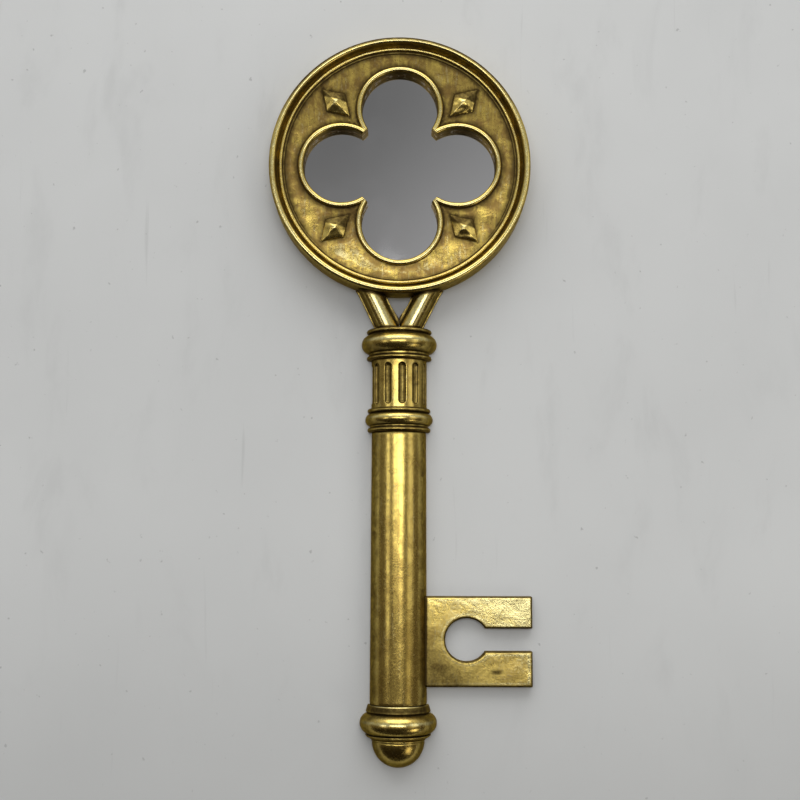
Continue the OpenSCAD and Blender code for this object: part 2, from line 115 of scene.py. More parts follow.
class BowSizes(bpy.types.PropertyGroup):
    """Sizes of the bow, its mouldings and its studs"""
    radius: length("Bow radius", "Outer radius of the round bow", radius_of("bow_rim"))
    depth: length("Bow depth", "From the wall to the crest of the outer bead", front_of("bow_rim"))
    bead: length("Outer bead", "Radius of the outer bead's section", 0.0028)
    wall: length("Rim wall", "Thickness of the bow's outer wall", 0.008)
    ledge_width: length("Ledge width", "Width of the ledge that carries the plate", 0.012)
    ledge_thickness: length("Ledge thickness", "Thickness of that ledge", 0.0045)
    recess: length("Recess depth", "Depth of the open recess behind the ledge", 0.0055)
    plate_front: length("Plate front", "From the wall to the front of the plate", front_of("bow_plate"))
    ring_width: length("Inner ring width", "Width of the inner bead ring", 0.0047)
    ring_front: length("Inner ring crest", "From the wall to the inner ring's crest", front_of("inner_bead_ring"))
    lobe_offset: length("Lobe offset", "From the bow's centre to a lobe's centre", 0.049)
    lobe_radius: length("Lobe radius", "Radius of a lobe of the opening", 0.032)
    cusp_reach: length("Cusp reach", "From the bow's centre to a blunt cusp", 0.0415)
    foil_width: length("Quatrefoil bead width", "Width of the bead round the opening", 0.0048)
    foil_front: length("Quatrefoil bead crest", "From the wall to that bead's crest", front_of("quatrefoil_bead"))
    stud_at: length("Stud distance", "From the bow's centre to a stud's point", 0.0765)
    stud_long: length("Stud length", "Length of a stud along the bow's radius", 0.033)
    stud_short: length("Stud width", "Width of a stud", 0.0215)
    stud_front: length("Stud point", "From the wall to a stud's point", front_of("stud_upper_right"))


class StemSizes(bpy.types.PropertyGroup):
    """Sizes of the neck, the turned parts and the bit"""
    arm_lean: angle("Arm lean", "Lean of an arm from the key's long axis", 26.0)
    arm_radius: length("Arm half-width", "Half-width of an arm's rounded body", 0.0084)
    arm_height: length("Arm height", "From the wall to an arm's ridge", front_of("left_arm"))
    arm_flange: length("Arm flange", "Width of the flat edge beside an arm's body", 0.0018)
    arm_flange_height: length("Arm flange height", "Height of that flat edge", 0.005)
    arm_web: length("Arm web", "How much wider the inner flat edges grow towards the crotch", 0.0017, 0.0)
    arm_flare: length("Arm flare", "How much an arm widens where it meets the bow", 0.0008, 0.0)
    shank_top: length("Upper shank radius", "Radius of the shank at its upper end", 0.0228)
    shank_foot: length("Lower shank radius", "Radius of the shank at its lower end", 0.0235)
    drum: length("Drum radius", "Radius of the fluted drum", radius_of("fluted_drum"))
    flute: length("Flute radius", "Radius of a flute's cutter", 0.00335)
    notch_at: length("Notch middle", "From the key's long axis to the round notch's middle", 0.056)
    notch: length("Notch radius", "Radius of the round notch", 0.0176)
    slot: length("Slot height", "Height of the slot in the bit", 0.0184)
    notch_rise: length("Notch rise", "How far the notch lies above the bit's middle", 0.0014, 0.0)
    edge: length("Bit edge", "Radius of the bit's softened front edges", 0.0017)


class GiltColours(bpy.types.PropertyGroup):
    """Colours of the gilding and of the other surfaces"""
    leaf: colour("Leaf", "Gold leaf", (0.80, 0.605, 0.165))
    field: colour("Leaf on the plate", "Browner leaf on the flat field of the bow", (0.66, 0.49, 0.115))
    rubbed: colour("Rubbed leaf", "Bright, burnished leaf on the raised edges", (0.86, 0.77, 0.38))
    shade: colour("Toned leaf", "Leaf under a thin toning wash", (0.42, 0.285, 0.068))
    umber: colour("Toned plate", "Browner wash brushed over the flat field of the bow", (0.235, 0.145, 0.045))
    glaze: colour("Dark glaze", "Patina that fills grooves and pits", (0.046, 0.029, 0.009))
    clay: colour("Red clay", "Clay ground that shows where the leaf is thin", (0.33, 0.17, 0.07))
    chip: colour("Chipped ground", "Pale ground that shows in small chips", (0.60, 0.55, 0.46))
    glass: colour("Mirror", "Tint of the mirror's silvering", (0.62, 0.62, 0.64))
    board: colour("Backing board", "Brown hardboard", (0.23, 0.13, 0.065))
    steel: colour("Steel", "Zinc-plated steel", (0.56, 0.56, 0.57))
    beech: colour("Dowels", "Plain beech", (0.62, 0.43, 0.24))
    wall: colour("Wall", "Painted wall behind the key", (0.79, 0.806, 0.812))


class FinishAmounts(bpy.types.PropertyGroup):
    """How worn and how uneven the finish is, and how strong its glaze, painted shade and painted highlights are"""
    groove: share("Glaze in grooves", "How much dark glaze lies in the grooves", 1.0)
    rub: share("Rubbed edges", "How bright the raised edges are rubbed", 1.0)
    patches: share("Patches", "How uneven the toning of the leaf is", 0.7)
    pits: share("Pits", "How many small dark pits the leaf has", 0.6)
    waviness: length("Waviness", "Height of the slow unevenness of the carved surfaces", 0.00012, 0.0, 0.001)
    stud_cut: length("Stud unevenness", "How far the studs' hand-cut facets stray", 0.0007, 0.0, 0.003)


class StageSizes(bpy.types.PropertyGroup):
    """The camera and the lights"""
    lens: FloatProperty(name="Lens", description="Focal length on a 36 mm sensor, in millimetres",
                        default=58.5, min=10.0, max=300.0)
    distance: length("Camera distance", "From the wall to the camera", 1.0873, 0.1, 10.0)
    camera_up: length("Camera height", "Height of the camera in the key's frame", -0.4074, -5.0, 5.0)
    camera_side: length("Camera side", "Sideways place of the camera", 0.0008, -1.0, 1.0)
    pitch: angle("Camera pitch", "How far the camera looks up", 5.94)
    roll: angle("Camera roll", "Turn of the camera about its view", 0.15)
    room: share("Room light", "Strength of the dim room around the lights", 1.0, 0.0, 2.0)
    lamps: share("Lamps", "Strength of all lamps together", 1.0, 0.0, 4.0)


def settings(context, *names):
    """The user's settings with the given names."""
    return [getattr(context.scene, "wall_key_" + name) for name in names]


# Mesh helpers. Shapes are worked out in millimetres and turned into metres at the end.

def on_wall(across, up, height):
    """Points given from the bow's centre, across and up, and by their height above the wall."""
    across, up, height = np.broadcast_arrays(across, up, height)
    return np.stack([across, -height, BOW_UP + up], axis=-1)


def arc(centre, radius, start, end, steps):
    """Points on an arc, the angles in degrees."""
    turn = np.radians(np.linspace(start, end, steps))
    return [(centre[0] + radius * math.cos(t), centre[1] + radius * math.sin(t)) for t in turn]


def spaced(points, step):
    """The same closed outline with points at most one step apart."""
    result = []
    for here, there in zip(points, points[1:] + points[:1]):
        gap = math.dist(here, there)
        count = max(1, math.ceil(gap / step))
        for k in range(count):
            t = k / count
            result.append((here[0] + (there[0] - here[0]) * t, here[1] + (there[1] - here[1]) * t))
    return result


def fade(distance, width):
    """1 at a line and 0 far from it."""
    return np.exp(-(np.asarray(distance) / width) ** 2)


def bump_field(points, size, seed):
    """Smooth noise between about -1 and 1 at each point, with bumps of the given size in millimetres."""
    shift = Vector((seed * 7.31, seed * 3.17, seed * 5.53))
    return np.array([noise.noise(Vector(p) / size + shift) for p in points])


def grid_faces(rows, columns, close_rows, close_columns):
    """Quads between the points of a grid."""
    faces = []
    for i in range(rows if close_rows else rows - 1):
        for j in range(columns if close_columns else columns - 1):
            k, m = (i + 1) % rows, (j + 1) % columns
            faces.append((i * columns + j, k * columns + j, k * columns + m, i * columns + m))
    return faces


def tidy_mesh(mesh, sharp):
    """Turns all faces outwards and shades them smooth, except at edges sharper than the given degrees."""
    work = bmesh.new()
    work.from_mesh(mesh)
    bmesh.ops.recalc_face_normals(work, faces=work.faces)
    work.to_mesh(mesh)
    work.free()
    mesh.polygons.foreach_set("use_smooth", [True] * len(mesh.polygons))
    mesh.set_sharp_from_angle(angle=math.radians(sharp))


def piece(name, points, faces, marks, material, nodes, sharp=50):
    """A new piece of the key that stands for CAD nodes and carries wear, glaze, painted shade and painted highlights
    on its points.
    """
    mesh = bpy.data.meshes.new(name)
    mesh.from_pydata((np.asarray(points) * MM).tolist(), [], faces)
    mesh.validate()
    tidy_mesh(mesh, sharp)
    for mark, values in marks.items():
        layer = mesh.attributes.new(name=mark, type="FLOAT", domain="POINT")
        layer.data.foreach_set("value", np.clip(values, 0, 1).astype(np.float32))
    mesh.materials.append(material)
    made = bpy.data.objects.new(name, mesh)
    bpy.context.scene.collection.objects.link(made)
    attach(made, BODY)
    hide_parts(*nodes)
    return made


def uneven(points, normals_out, amount, size, seed):
    """Moves points a little in and out along the given directions."""
    return points + normals_out * (bump_field(points, size, seed) * amount)[:, None]


def turned(along, aside, turn):
    """A place in a frame that is turned by an angle, given across and up."""
    return (along * math.cos(turn) - aside * math.sin(turn),
            along * math.sin(turn) + aside * math.cos(turn))


def smoothed(loop, times):
    """A closed outline with its corners rounded off by repeated averaging."""
    for _ in range(times):
        loop = (np.roll(loop, 1, axis=0) + loop * 2 + np.roll(loop, -1, axis=0)) / 4
    return loop


def capped_faces(rows, columns):
    """Quads round a row of sections, and a face on each end."""
    faces = grid_faces(rows, columns, False, True)
    faces.append(tuple(range(columns)))
    faces.append(tuple((rows - 1) * columns + k for k in range(columns)))
    return faces


# Shapes of the bow

def ring_points(profile, count):
    """A closed profile of (radius, height) turned about the bow's axis."""
    profile = np.array(profile)
    turn = np.linspace(0, 2 * math.pi, count, endpoint=False)
    across = np.cos(turn)[:, None] * profile[None, :, 0]
    up = np.sin(turn)[:, None] * profile[None, :, 0]
    high = np.broadcast_to(profile[None, :, 1], across.shape)
    return on_wall(across, up, high).reshape(-1, 3)


# How far the outer bead stands back from the bow's outer wall
BEAD_INSET = 0.2
# How far beads and studs are let into the plate
SUNK = 0.03
RIM_STEPS, RING_STEPS = 480, 420


def rim_profile(bow):
    """The rim's section as (radius, height): outer wall, bead, channel, plate's seat, ledge and recess."""
    r, deep, bead = bow.radius / MM, bow.depth / MM, bow.bead / MM
    inner = r - bow.wall / MM
    ledge_in = inner - bow.ledge_width / MM
    back = bow.recess / MM
    shelf = back + bow.ledge_thickness / MM
    level = deep - bead
    middle = r - BEAD_INSET - bead
    low = bow.plate_front / MM
    points = arc((r - 2.2, 2.2), 2.2, -90, 0, 8) + [(r - 0.1, level * 0.4), (r - 0.3, level * 0.75)]
    points += arc((middle, level), bead, -12, 180, 36)
    points += [(middle - bead - 0.05, level - 1.0), (middle - bead - 0.35, level - 2.1),
               (middle - bead - 0.95, level - 3.1), (inner + 0.6, low + 0.7), (inner, low + 0.4)]
    points += [(inner, low - 2), (inner, shelf), (ledge_in + 0.4, shelf)]
    points += arc((ledge_in + 0.5, shelf - 0.5), 0.5, 90, 180, 4)
    points += arc((ledge_in + 0.5, back + 0.5), 0.5, 180, 270, 4)
    points += [(inner - 0.3, back), (inner, back - 0.3)] + arc((inner + 0.6, 0.6), 0.6, 180, 270, 5)
    return spaced(points, 2.5)


def outward(points):
    """Directions straight out of the wall, for small moves of flat faces."""
    directions = np.zeros_like(points)
    directions[:, 1] = -1
    return directions


def ring_directions(points):
    """Directions out from the bow's centre and, more strongly, out from the wall."""
    flat = points * np.array([1, 0, 1]) - np.array([0, 0, BOW_UP])
    flat /= np.linalg.norm(flat, axis=1)[:, None]
    return flat * 0.5 + np.array([0, -0.85, 0])[None, :]


def lobe_frame(across, up):
    """Folds points of the quatrefoil into the frame of their nearest lobe: along it and across it."""
    quarter = np.round(np.arctan2(up, across) / (math.pi / 2)) * (math.pi / 2)
    return across * np.cos(quarter) + up * np.sin(quarter), -across * np.sin(quarter) + up * np.cos(quarter)


def foil_distance(bow, across, up, radius):
    """Distance outside the lobes drawn with the given radius."""
    along, aside = lobe_frame(across, up)
    return np.hypot(along - bow.lobe_offset / MM, aside) - radius


def stud_distance(bow, across, up):
    """Distance outside the nearest stud's outline."""
    turn = (np.floor(np.arctan2(up, across) / (math.pi / 2)) + 0.5) * (math.pi / 2)
    along = across * np.cos(turn) + up * np.sin(turn) - bow.stud_at / MM
    aside = -across * np.sin(turn) + up * np.cos(turn)
    a, b = bow.stud_long / MM / 2, bow.stud_short / MM / 2
    return (np.abs(along) / a + np.abs(aside) / b - 1) / math.hypot(1 / a, 1 / b)


def foil_outline(bow, step=1.0):
    """The outline of the quatrefoil opening, from one cusp round to the same cusp."""
    d, r, reach = bow.lobe_offset / MM, bow.lobe_radius / MM, bow.cusp_reach / MM
    shy = d / math.sqrt(2)
    end = 45 + math.degrees(math.acos((reach - shy) / r))
    outline = []
    for quarter in (0, 90, 180, 270):
        c, s = math.cos(math.radians(quarter)), math.sin(math.radians(quarter))
        count = math.ceil(math.radians(2 * end) * r / step)
        lobe = [(d + x, y) for x, y in arc((0, 0), r, -end, end, count)]
        outline += [(x * c - y * s, x * s + y * c) for x, y in lobe]
        half = shy - math.sqrt(r * r - (reach - shy) ** 2)
        outline += [turned(reach, k * half, math.radians(quarter + 45)) for k in (-0.5, 0, 0.5)]
    return outline


def rim_glaze_and_shade(bow, profile):
    """How much glaze lies in the rim's channel, and painted shade on the bead, by the wall and on the upper half."""
    across, height = profile[:, 0], profile[:, 1]
    inner = (bow.radius - bow.wall) / MM
    channel = 0.25 * fade(np.hypot(across - inner - 0.7, (height - bow.plate_front / MM - 1.0) * 0.7), 1.6)
    on_bead = height > bow.depth / MM - 3
    beside = across - bow.radius / MM + BEAD_INSET + bow.bead / MM
    # Painted shade on the bead's flanks, which narrows its highlight
    painted_shade_outer_flank = 0.42 * np.clip((beside - 0.8) / 1.2, 0, 1)
    painted_shade_inner_flank = 0.25 * np.clip((-beside - 0.9) / 1.2, 0, 1)
    sides = np.where(beside > 0, painted_shade_outer_flank, painted_shade_inner_flank) * on_bead
    # Painted shade at the rim's foot by the wall, low on its outer wall, and on its inner wall behind the plate
    foot = 0.5 * fade(height, 2.5) * (across > inner)
    painted_shade_outer_wall = 0.56 * np.clip(1 - (height - 17) / 7, 0, 1) * (across > inner + 2)
    inside = 0.75 * (across < inner + 0.1)
    glaze = np.tile(np.maximum.reduce([channel, sides, foot, painted_shade_outer_wall, inside]), RIM_STEPS)
    # Painted shade on the bead where it faces up in the bow's upper half
    upper = np.clip(np.sin(np.linspace(0, 2 * math.pi, RIM_STEPS, endpoint=False)) * 1.5, 0, 1)
    painted_shade_facing_up = upper[:, None] * (0.8 * np.clip((beside + 0.4) / 1.3, 0, 1) * on_bead)[None, :]
    return np.maximum(glaze, painted_shade_facing_up.ravel())


def build_rim(context, material):
    """The moulded ring round the bow, kept inside its outline and in front of the wall."""
    bow, finish = settings(context, "bow", "finish")
    profile = np.array(rim_profile(bow))
    points = ring_points(profile, RIM_STEPS)
    points = uneven(points, ring_directions(points), finish.waviness / MM, 14, 1)
    points[:, 1] = np.minimum(points[:, 1], 0)
    shrink = np.minimum(1, bow.radius / MM / np.hypot(points[:, 0], points[:, 2] - BOW_UP))
    points[:, 0] *= shrink
    points[:, 2] = BOW_UP + (points[:, 2] - BOW_UP) * shrink
    crest = 0.7 * fade(profile[:, 1] - bow.depth / MM, 0.7)
    made = piece("gilded_bow_rim", points, grid_faces(RIM_STEPS, len(profile), True, True),
                 {"groove": rim_glaze_and_shade(bow, profile), "rub": np.tile(crest, RIM_STEPS)},
                 material, ["bow_rim"])
    sink_screw_seats(made, bow)
    return made


PLATE_SCREWS = 8
# Radii and depth of a screw's sloping seat, in metres
SEAT_WIDE, SEAT_NARROW, SEAT_DEPTH = 0.00335, 0.0014, 0.004


def sink_screw_seats(rim, bow):
    """Cuts the sloping seats of the plate's screws into the back of the ledge."""
    cutter_mesh = bpy.data.meshes.new("screw_seats")
    work = bmesh.new()
    at = bow.radius - bow.wall - bow.ledge_width / 2
    for k in range(PLATE_SCREWS):
        turn = math.radians(22.5 + 45 * k)
        place = Matrix.Translation((at * math.cos(turn), -bow.recess, BOW_UP * MM + at * math.sin(turn)))
        bmesh.ops.create_cone(work, cap_ends=True, segments=32, radius1=SEAT_WIDE, radius2=SEAT_NARROW,
                              depth=SEAT_DEPTH, matrix=place @ Matrix.Rotation(math.radians(90), 4, "X"))
    work.to_mesh(cutter_mesh)
    work.free()
    cutter = bpy.data.objects.new("screw_seats", cutter_mesh)
    bpy.context.scene.collection.objects.link(cutter)
    cut = rim.modifiers.new("Seats", "BOOLEAN")
    cut.operation = "DIFFERENCE"
    cut.solver = "EXACT"
    cut.object = cutter
    bpy.context.view_layer.update()
    cut_mesh = bpy.data.meshes.new_from_object(rim.evaluated_get(bpy.context.evaluated_depsgraph_get()))
    if len(cut_mesh.polygons) <= len(rim.data.polygons):
        raise RuntimeError("The screws' seats were not cut into the rim's ledge")
    rim.modifiers.clear()
    rim.data = cut_mesh
    bpy.data.objects.remove(cutter)


def build_inner_ring(context, material):
    """The thin bead ring that covers the joint between rim and plate."""
    bow, finish = settings(context, "bow", "finish")
    out = (bow.radius - bow.wall) / MM - 0.05
    width = bow.ring_width / MM
    low = bow.plate_front / MM - SUNK
    crest = bow.ring_front / MM
    bead = 1.6
    profile = [(out, low)] + arc((out - bead, crest - bead), bead, 0, 180, 26)
    profile += [(out - 2 * bead - 0.1, low + 0.8)] + arc((out - width + 0.3, low + 0.5), 0.3, 90, 180, 4)
    profile = np.array(spaced(profile + [(out - width, low)], 1.2))
    cove = fade(np.hypot(profile[:, 0] - out - 0.2, profile[:, 1] - low), 1.6)
    lip = fade(np.hypot(profile[:, 0] - out + width - 1.0, profile[:, 1] - low - 0.6), 1.1)
    rub = 0.55 * fade(profile[:, 1] - crest, 0.3)
    points = ring_points(profile, RING_STEPS)
    points = uneven(points, ring_directions(points), finish.waviness / MM * 0.8, 11, 2)
    return piece("gilded_inner_bead_ring", points, grid_faces(RING_STEPS, len(profile), True, True),
                 {"groove": np.tile(np.maximum(cove, lip), RING_STEPS), "rub": np.tile(rub, RING_STEPS)},
                 material, ["inner_bead_ring"])


# Rings of points across the plate's front, and down the opening's wall
PLATE_RINGS, OPENING_RINGS = 34, 7


def build_plate(context, material):
    """The flat field with the quatrefoil opening and its walls."""
    bow, finish = settings(context, "bow", "finish")
    outline = np.array(foil_outline(bow))
    edge = (bow.radius - bow.wall) / MM - 0.06
    front = bow.plate_front / MM
    back = (bow.recess + bow.ledge_thickness) / MM
    far = outline / np.linalg.norm(outline, axis=1)[:, None] * edge
    steps = np.linspace(0, 1, PLATE_RINGS)
    flat = outline[:, None, :] * (1 - steps)[None, :, None] + far[:, None, :] * steps[None, :, None]
    count = len(outline)
    rings = [(outline, level) for level in np.linspace(front - 1, back, OPENING_RINGS)]
    rings += [(far, back), (far, front - 0.6)]
    spots = np.concatenate([flat[:, ::-1, :]] + [ring[:, None, :] for ring, level in rings], axis=1)
    heights = np.concatenate([np.full((count, PLATE_RINGS), front)]
                             + [np.full((count, 1), level) for ring, level in rings], axis=1)
    points = on_wall(spots[..., 0], spots[..., 1], heights).reshape(-1, 3)
    across, up, high = points[:, 0], points[:, 2] - BOW_UP, -points[:, 1]
    foot = foil_distance(bow, across, up, (bow.lobe_radius + bow.foil_width) / MM)
    stud = stud_distance(bow, across, up)
    ring_gap = edge - bow.ring_width / MM - np.hypot(across, up)
    nearest = np.minimum(np.minimum(np.abs(foot), np.abs(ring_gap)), np.where(stud > 0, stud, 0) + 0.25)
    wall = high < front - 0.4
    # Painted light: less glaze and brighter leaf towards the bottom of the field
    foot_light = np.clip((-up - 45) / 32, 0, 1)
    groove = np.maximum(fade(nearest, 1.5), 0.68 * fade(nearest, 6.0)) * (1 - 0.45 * foot_light)
    # Painted shade that grows towards the top of the field; the opening's walls get glaze and painted shade
    painted_shade_top = 0.4 * np.clip((up + 10) / 55, 0, 1)
    groove = np.where(wall, 0.84, np.maximum(groove, painted_shade_top))
    # Rubbed leaf away from the edges, with painted light towards the bottom and towards the left
    away = np.clip((nearest - 1.5) / 4, 0, 1)
    rub = np.where(wall, 0, away * (0.22 + 0.32 * foot_light + 0.12 * np.clip(-across / 80, -1, 1)))
    # Grows towards the back of the opening's walls, which it darkens to brown and where it carries pale chips
    chips = np.where(wall, np.clip((back + 5 - high) / 4, 0, 1), 0)
    open_field = ~wall & (foot > 0.5)
    points[open_field] = uneven(points[open_field], outward(points[open_field]), finish.waviness / MM * 1.6, 9, 3)
    return piece("gilded_bow_plate", points, grid_faces(count, heights.shape[1], True, True),
                 {"groove": groove, "rub": rub, "chips": chips}, material, ["bow_plate"])


FOIL_STEPS = 170
# How strongly the points along a lobe crowd towards its cusps
CROWDING = math.pi / 2 * 0.86


def build_foil_bead(context, material):
    """The bead round the opening: four lobes that meet in mitres at the cusps."""
    bow, finish = settings(context, "bow", "finish")
    d, r, w = bow.lobe_offset / MM, bow.lobe_radius / MM, bow.foil_width / MM
    low, crest = bow.plate_front / MM - SUNK, bow.foil_front / MM
    half = w / 2
    reach = bow.cusp_reach / MM
    shy = d / math.sqrt(2)
    section = [(r, low)] + arc((r + half, crest - half), half, 180, 0, 27) + [(r + w, low)]
    section += [(r + w - k * w / 5, low - 0.02) for k in range(1, 5)]
    rows = len(section)
    t = np.sin(np.linspace(-1, 1, FOIL_STEPS) * CROWDING) / math.sin(CROWDING)
    lobes, bead_glaze_and_shade, rubs = [], [], []
    for quarter in (0, 90, 180, 270):
        c, s = math.cos(math.radians(quarter)), math.sin(math.radians(quarter))
        for radius, height in section:
            end = math.radians(45) + math.acos(min(1, (reach - shy) / radius))
            if radius > shy:
                end = min(end, math.radians(45) + math.asin(min(1, d / (radius * math.sqrt(2)))))
            turn = t * end
            x, y = d + radius * np.cos(turn), radius * np.sin(turn)
            lobes.append(on_wall(x * c - y * s, x * s + y * c, np.full(FOIL_STEPS, height)))
            level = (height - low) / (crest - low)
            # Painted shade low on the bead's flanks, which narrows its highlight; glaze in the mitres
            side = max(0.0, 1 - level * 1.35) ** 0.8
            mitre = fade((1 - np.abs(t)) * end * radius, 0.8)
            bead_glaze_and_shade.append(np.clip(side + mitre * 0.55, 0, 1))
            rubs.append(np.full(FOIL_STEPS, 0.7 * math.exp(-((1 - level) / 0.16) ** 2)))
    points = np.concatenate(lobes)
    faces = []
    size = rows * FOIL_STEPS
    for lobe in range(4):
        here, there = lobe * size, (lobe + 1) % 4 * size
        faces += [tuple(here + v for v in face) for face in grid_faces(rows, FOIL_STEPS, True, False)]
        for j in range(rows):
            k = (j + 1) % rows
            corners = [here + (j + 1) * FOIL_STEPS - 1, here + (k + 1) * FOIL_STEPS - 1,
                       there + k * FOIL_STEPS, there + j * FOIL_STEPS]
            a, b, c, d = (points[corner] for corner in corners)
            if math.dist(a, d) > 1e-4 or math.dist(b, c) > 1e-4:
                faces.append(tuple(corners))
    points = uneven(points, outward(points), finish.waviness / MM * 0.8, 8, 4)
    made = piece("gilded_quatrefoil_bead", points, faces,
                 {"groove": np.concatenate(bead_glaze_and_shade), "rub": np.concatenate(rubs)}, material,
                 ["quatrefoil_bead"], sharp=48)
    work = bmesh.new()
    work.from_mesh(made.data)
    bmesh.ops.remove_doubles(work, verts=work.verts, dist=2e-6)
    work.to_mesh(made.data)
    work.free()
    return made


# Each stud's place, its angle round the bow in degrees, and the seed of its unevenness
STUDS = (("upper_right", 45, 11), ("upper_left", 135, 12), ("lower_left", 225, 13), ("lower_right", 315, 14))
STUD_SIDE_STEPS, STUD_RINGS = 22, 20


def build_stud(context, material, place, degrees, seed):
    """One diamond stud with slightly uneven, hand-cut facets."""
    bow, finish = settings(context, "bow", "finish")
    a, b, at = bow.stud_long / MM / 2, bow.stud_short / MM / 2, bow.stud_at / MM
    low, point = bow.plate_front / MM - SUNK, bow.stud_front / MM
    turn = math.radians(degrees)
    shift = np.array([noise.noise(Vector((seed, 0, k))) for k in range(8)]) * finish.stud_cut / MM * 2
    corners = [(a, shift[0]), (shift[1] * 0.6, b), (-a, shift[2]), (shift[3] * 0.6, -b)]
    outline = []
    for here, there in zip(corners, corners[1:] + corners[:1]):
        for k in range(STUD_SIDE_STEPS):
            s = k / STUD_SIDE_STEPS
            outline.append((here[0] + (there[0] - here[0]) * s, here[1] + (there[1] - here[1]) * s))
    outline = np.array(outline)
    softened, rounded = smoothed(outline, 3), smoothed(outline, 60)
    shoulder = low + 1.05
    rings, heights = [softened, softened], [low, low + 0.75]
    top = np.array([shift[4], shift[5]])
    for k in range(1, STUD_RINGS):
        s = k / STUD_RINGS
        soft = softened * (1 - s ** 1.5) + rounded * s ** 1.5
        rings.append(soft * (1 - s) + top * s)
        heights.append(shoulder + (point - shoulder - 0.1) * (1 - (1 - s) ** 1.25))
    points = [on_wall(*turned(ring[:, 0] + at, ring[:, 1], turn), np.full(len(ring), height))
              for ring, height in zip(rings, heights)]
    tip_across, tip_up = turned(at + top[0], top[1], turn)
    points.append(on_wall(np.array([tip_across]), np.array([tip_up]), np.array([point - 0.25])))
    points = np.concatenate(points)
    rows, count = len(rings), len(outline)
    last = (rows - 1) * count
    faces = grid_faces(rows, count, False, True)
    faces += [(last + k, last + (k + 1) % count, rows * count) for k in range(count)]
    faces.append(tuple(range(count)))
    level = (-points[:, 1] - low) / (point - low)
    cut = bump_field(points, 5.5, seed) * np.clip(level * 4, 0, 1) * np.clip((1 - level) * 3 + 0.4, 0, 1)
    points = points + outward(points) * (cut * finish.stud_cut / MM)[:, None]
    points[:, 1] = np.maximum(points[:, 1], -point)
    middle_across, middle_up = turned(at, 0, turn)
    across, up = points[:, 0] - middle_across, points[:, 2] - BOW_UP - middle_up
    # Painted shade on the upper facets, beside the glaze at the stud's foot
    painted_shade_upper_facets = 0.72 * np.clip((up * 0.9 + across * 0.25 - 0.6) / 2.2, 0, 1)
    groove = np.maximum(np.clip(1 - level * 5.5, 0, 1), painted_shade_upper_facets)
    along_edge = np.tile(np.arange(count) % STUD_SIDE_STEPS / STUD_SIDE_STEPS, rows)
    ridge = fade(np.minimum(along_edge, 1 - along_edge), 0.06)
    # A painted highlight near the stud's middle, added to its rubbed ridges
    lit = fade(np.hypot((across + up) / 1.6, across - up + 1), 4.2)
    rub = np.concatenate([ridge * 0.5, [0.6]]) * np.clip(level * 2, 0, 1) + 0.7 * lit
    return piece("gilded_stud_" + place, points, faces, {"groove": groove, "rub": rub}, material,
                 ["stud_" + place], sharp=38)


# Shapes of the neck and the turned parts

# Where an arm's axis starts from the collar: across, up from the bow's centre, and the gap at the middle plane
ARM_FOOT_X, ARM_FOOT_UP, ARM_GAP = 22.1, -110.0, 0.2
# How far an arm runs down before the collar's top cuts it, and its number of sections
ARM_END, ARM_STATIONS = -62.0, 56
# The two arms were not set at quite the same lean
LEAN_DIFFERENCE = math.radians(0.8)


def arm_section(stem):
    """Section of an arm as (across, height): flat edges beside a body with a rounded top."""
    r, edge, edge_high = stem.arm_radius / MM, stem.arm_flange / MM, stem.arm_flange_height / MM
    level = stem.arm_height / MM - r
    half = [(r + edge, 0), (r + edge, edge_high - 0.3), (r + edge - 0.3, edge_high), (r + 0.1, edge_high)]
    half += [(r, edge_high + 0.2), (r, edge_high + 3), (r, level - 1)] + arc((0, level), r, 0, 90, 20)
    base = [(-r - edge + k * (r + edge) * 2 / 12, 0) for k in range(1, 12)]
    return half + [(-x, y) for x, y in half[-2::-1]] + base


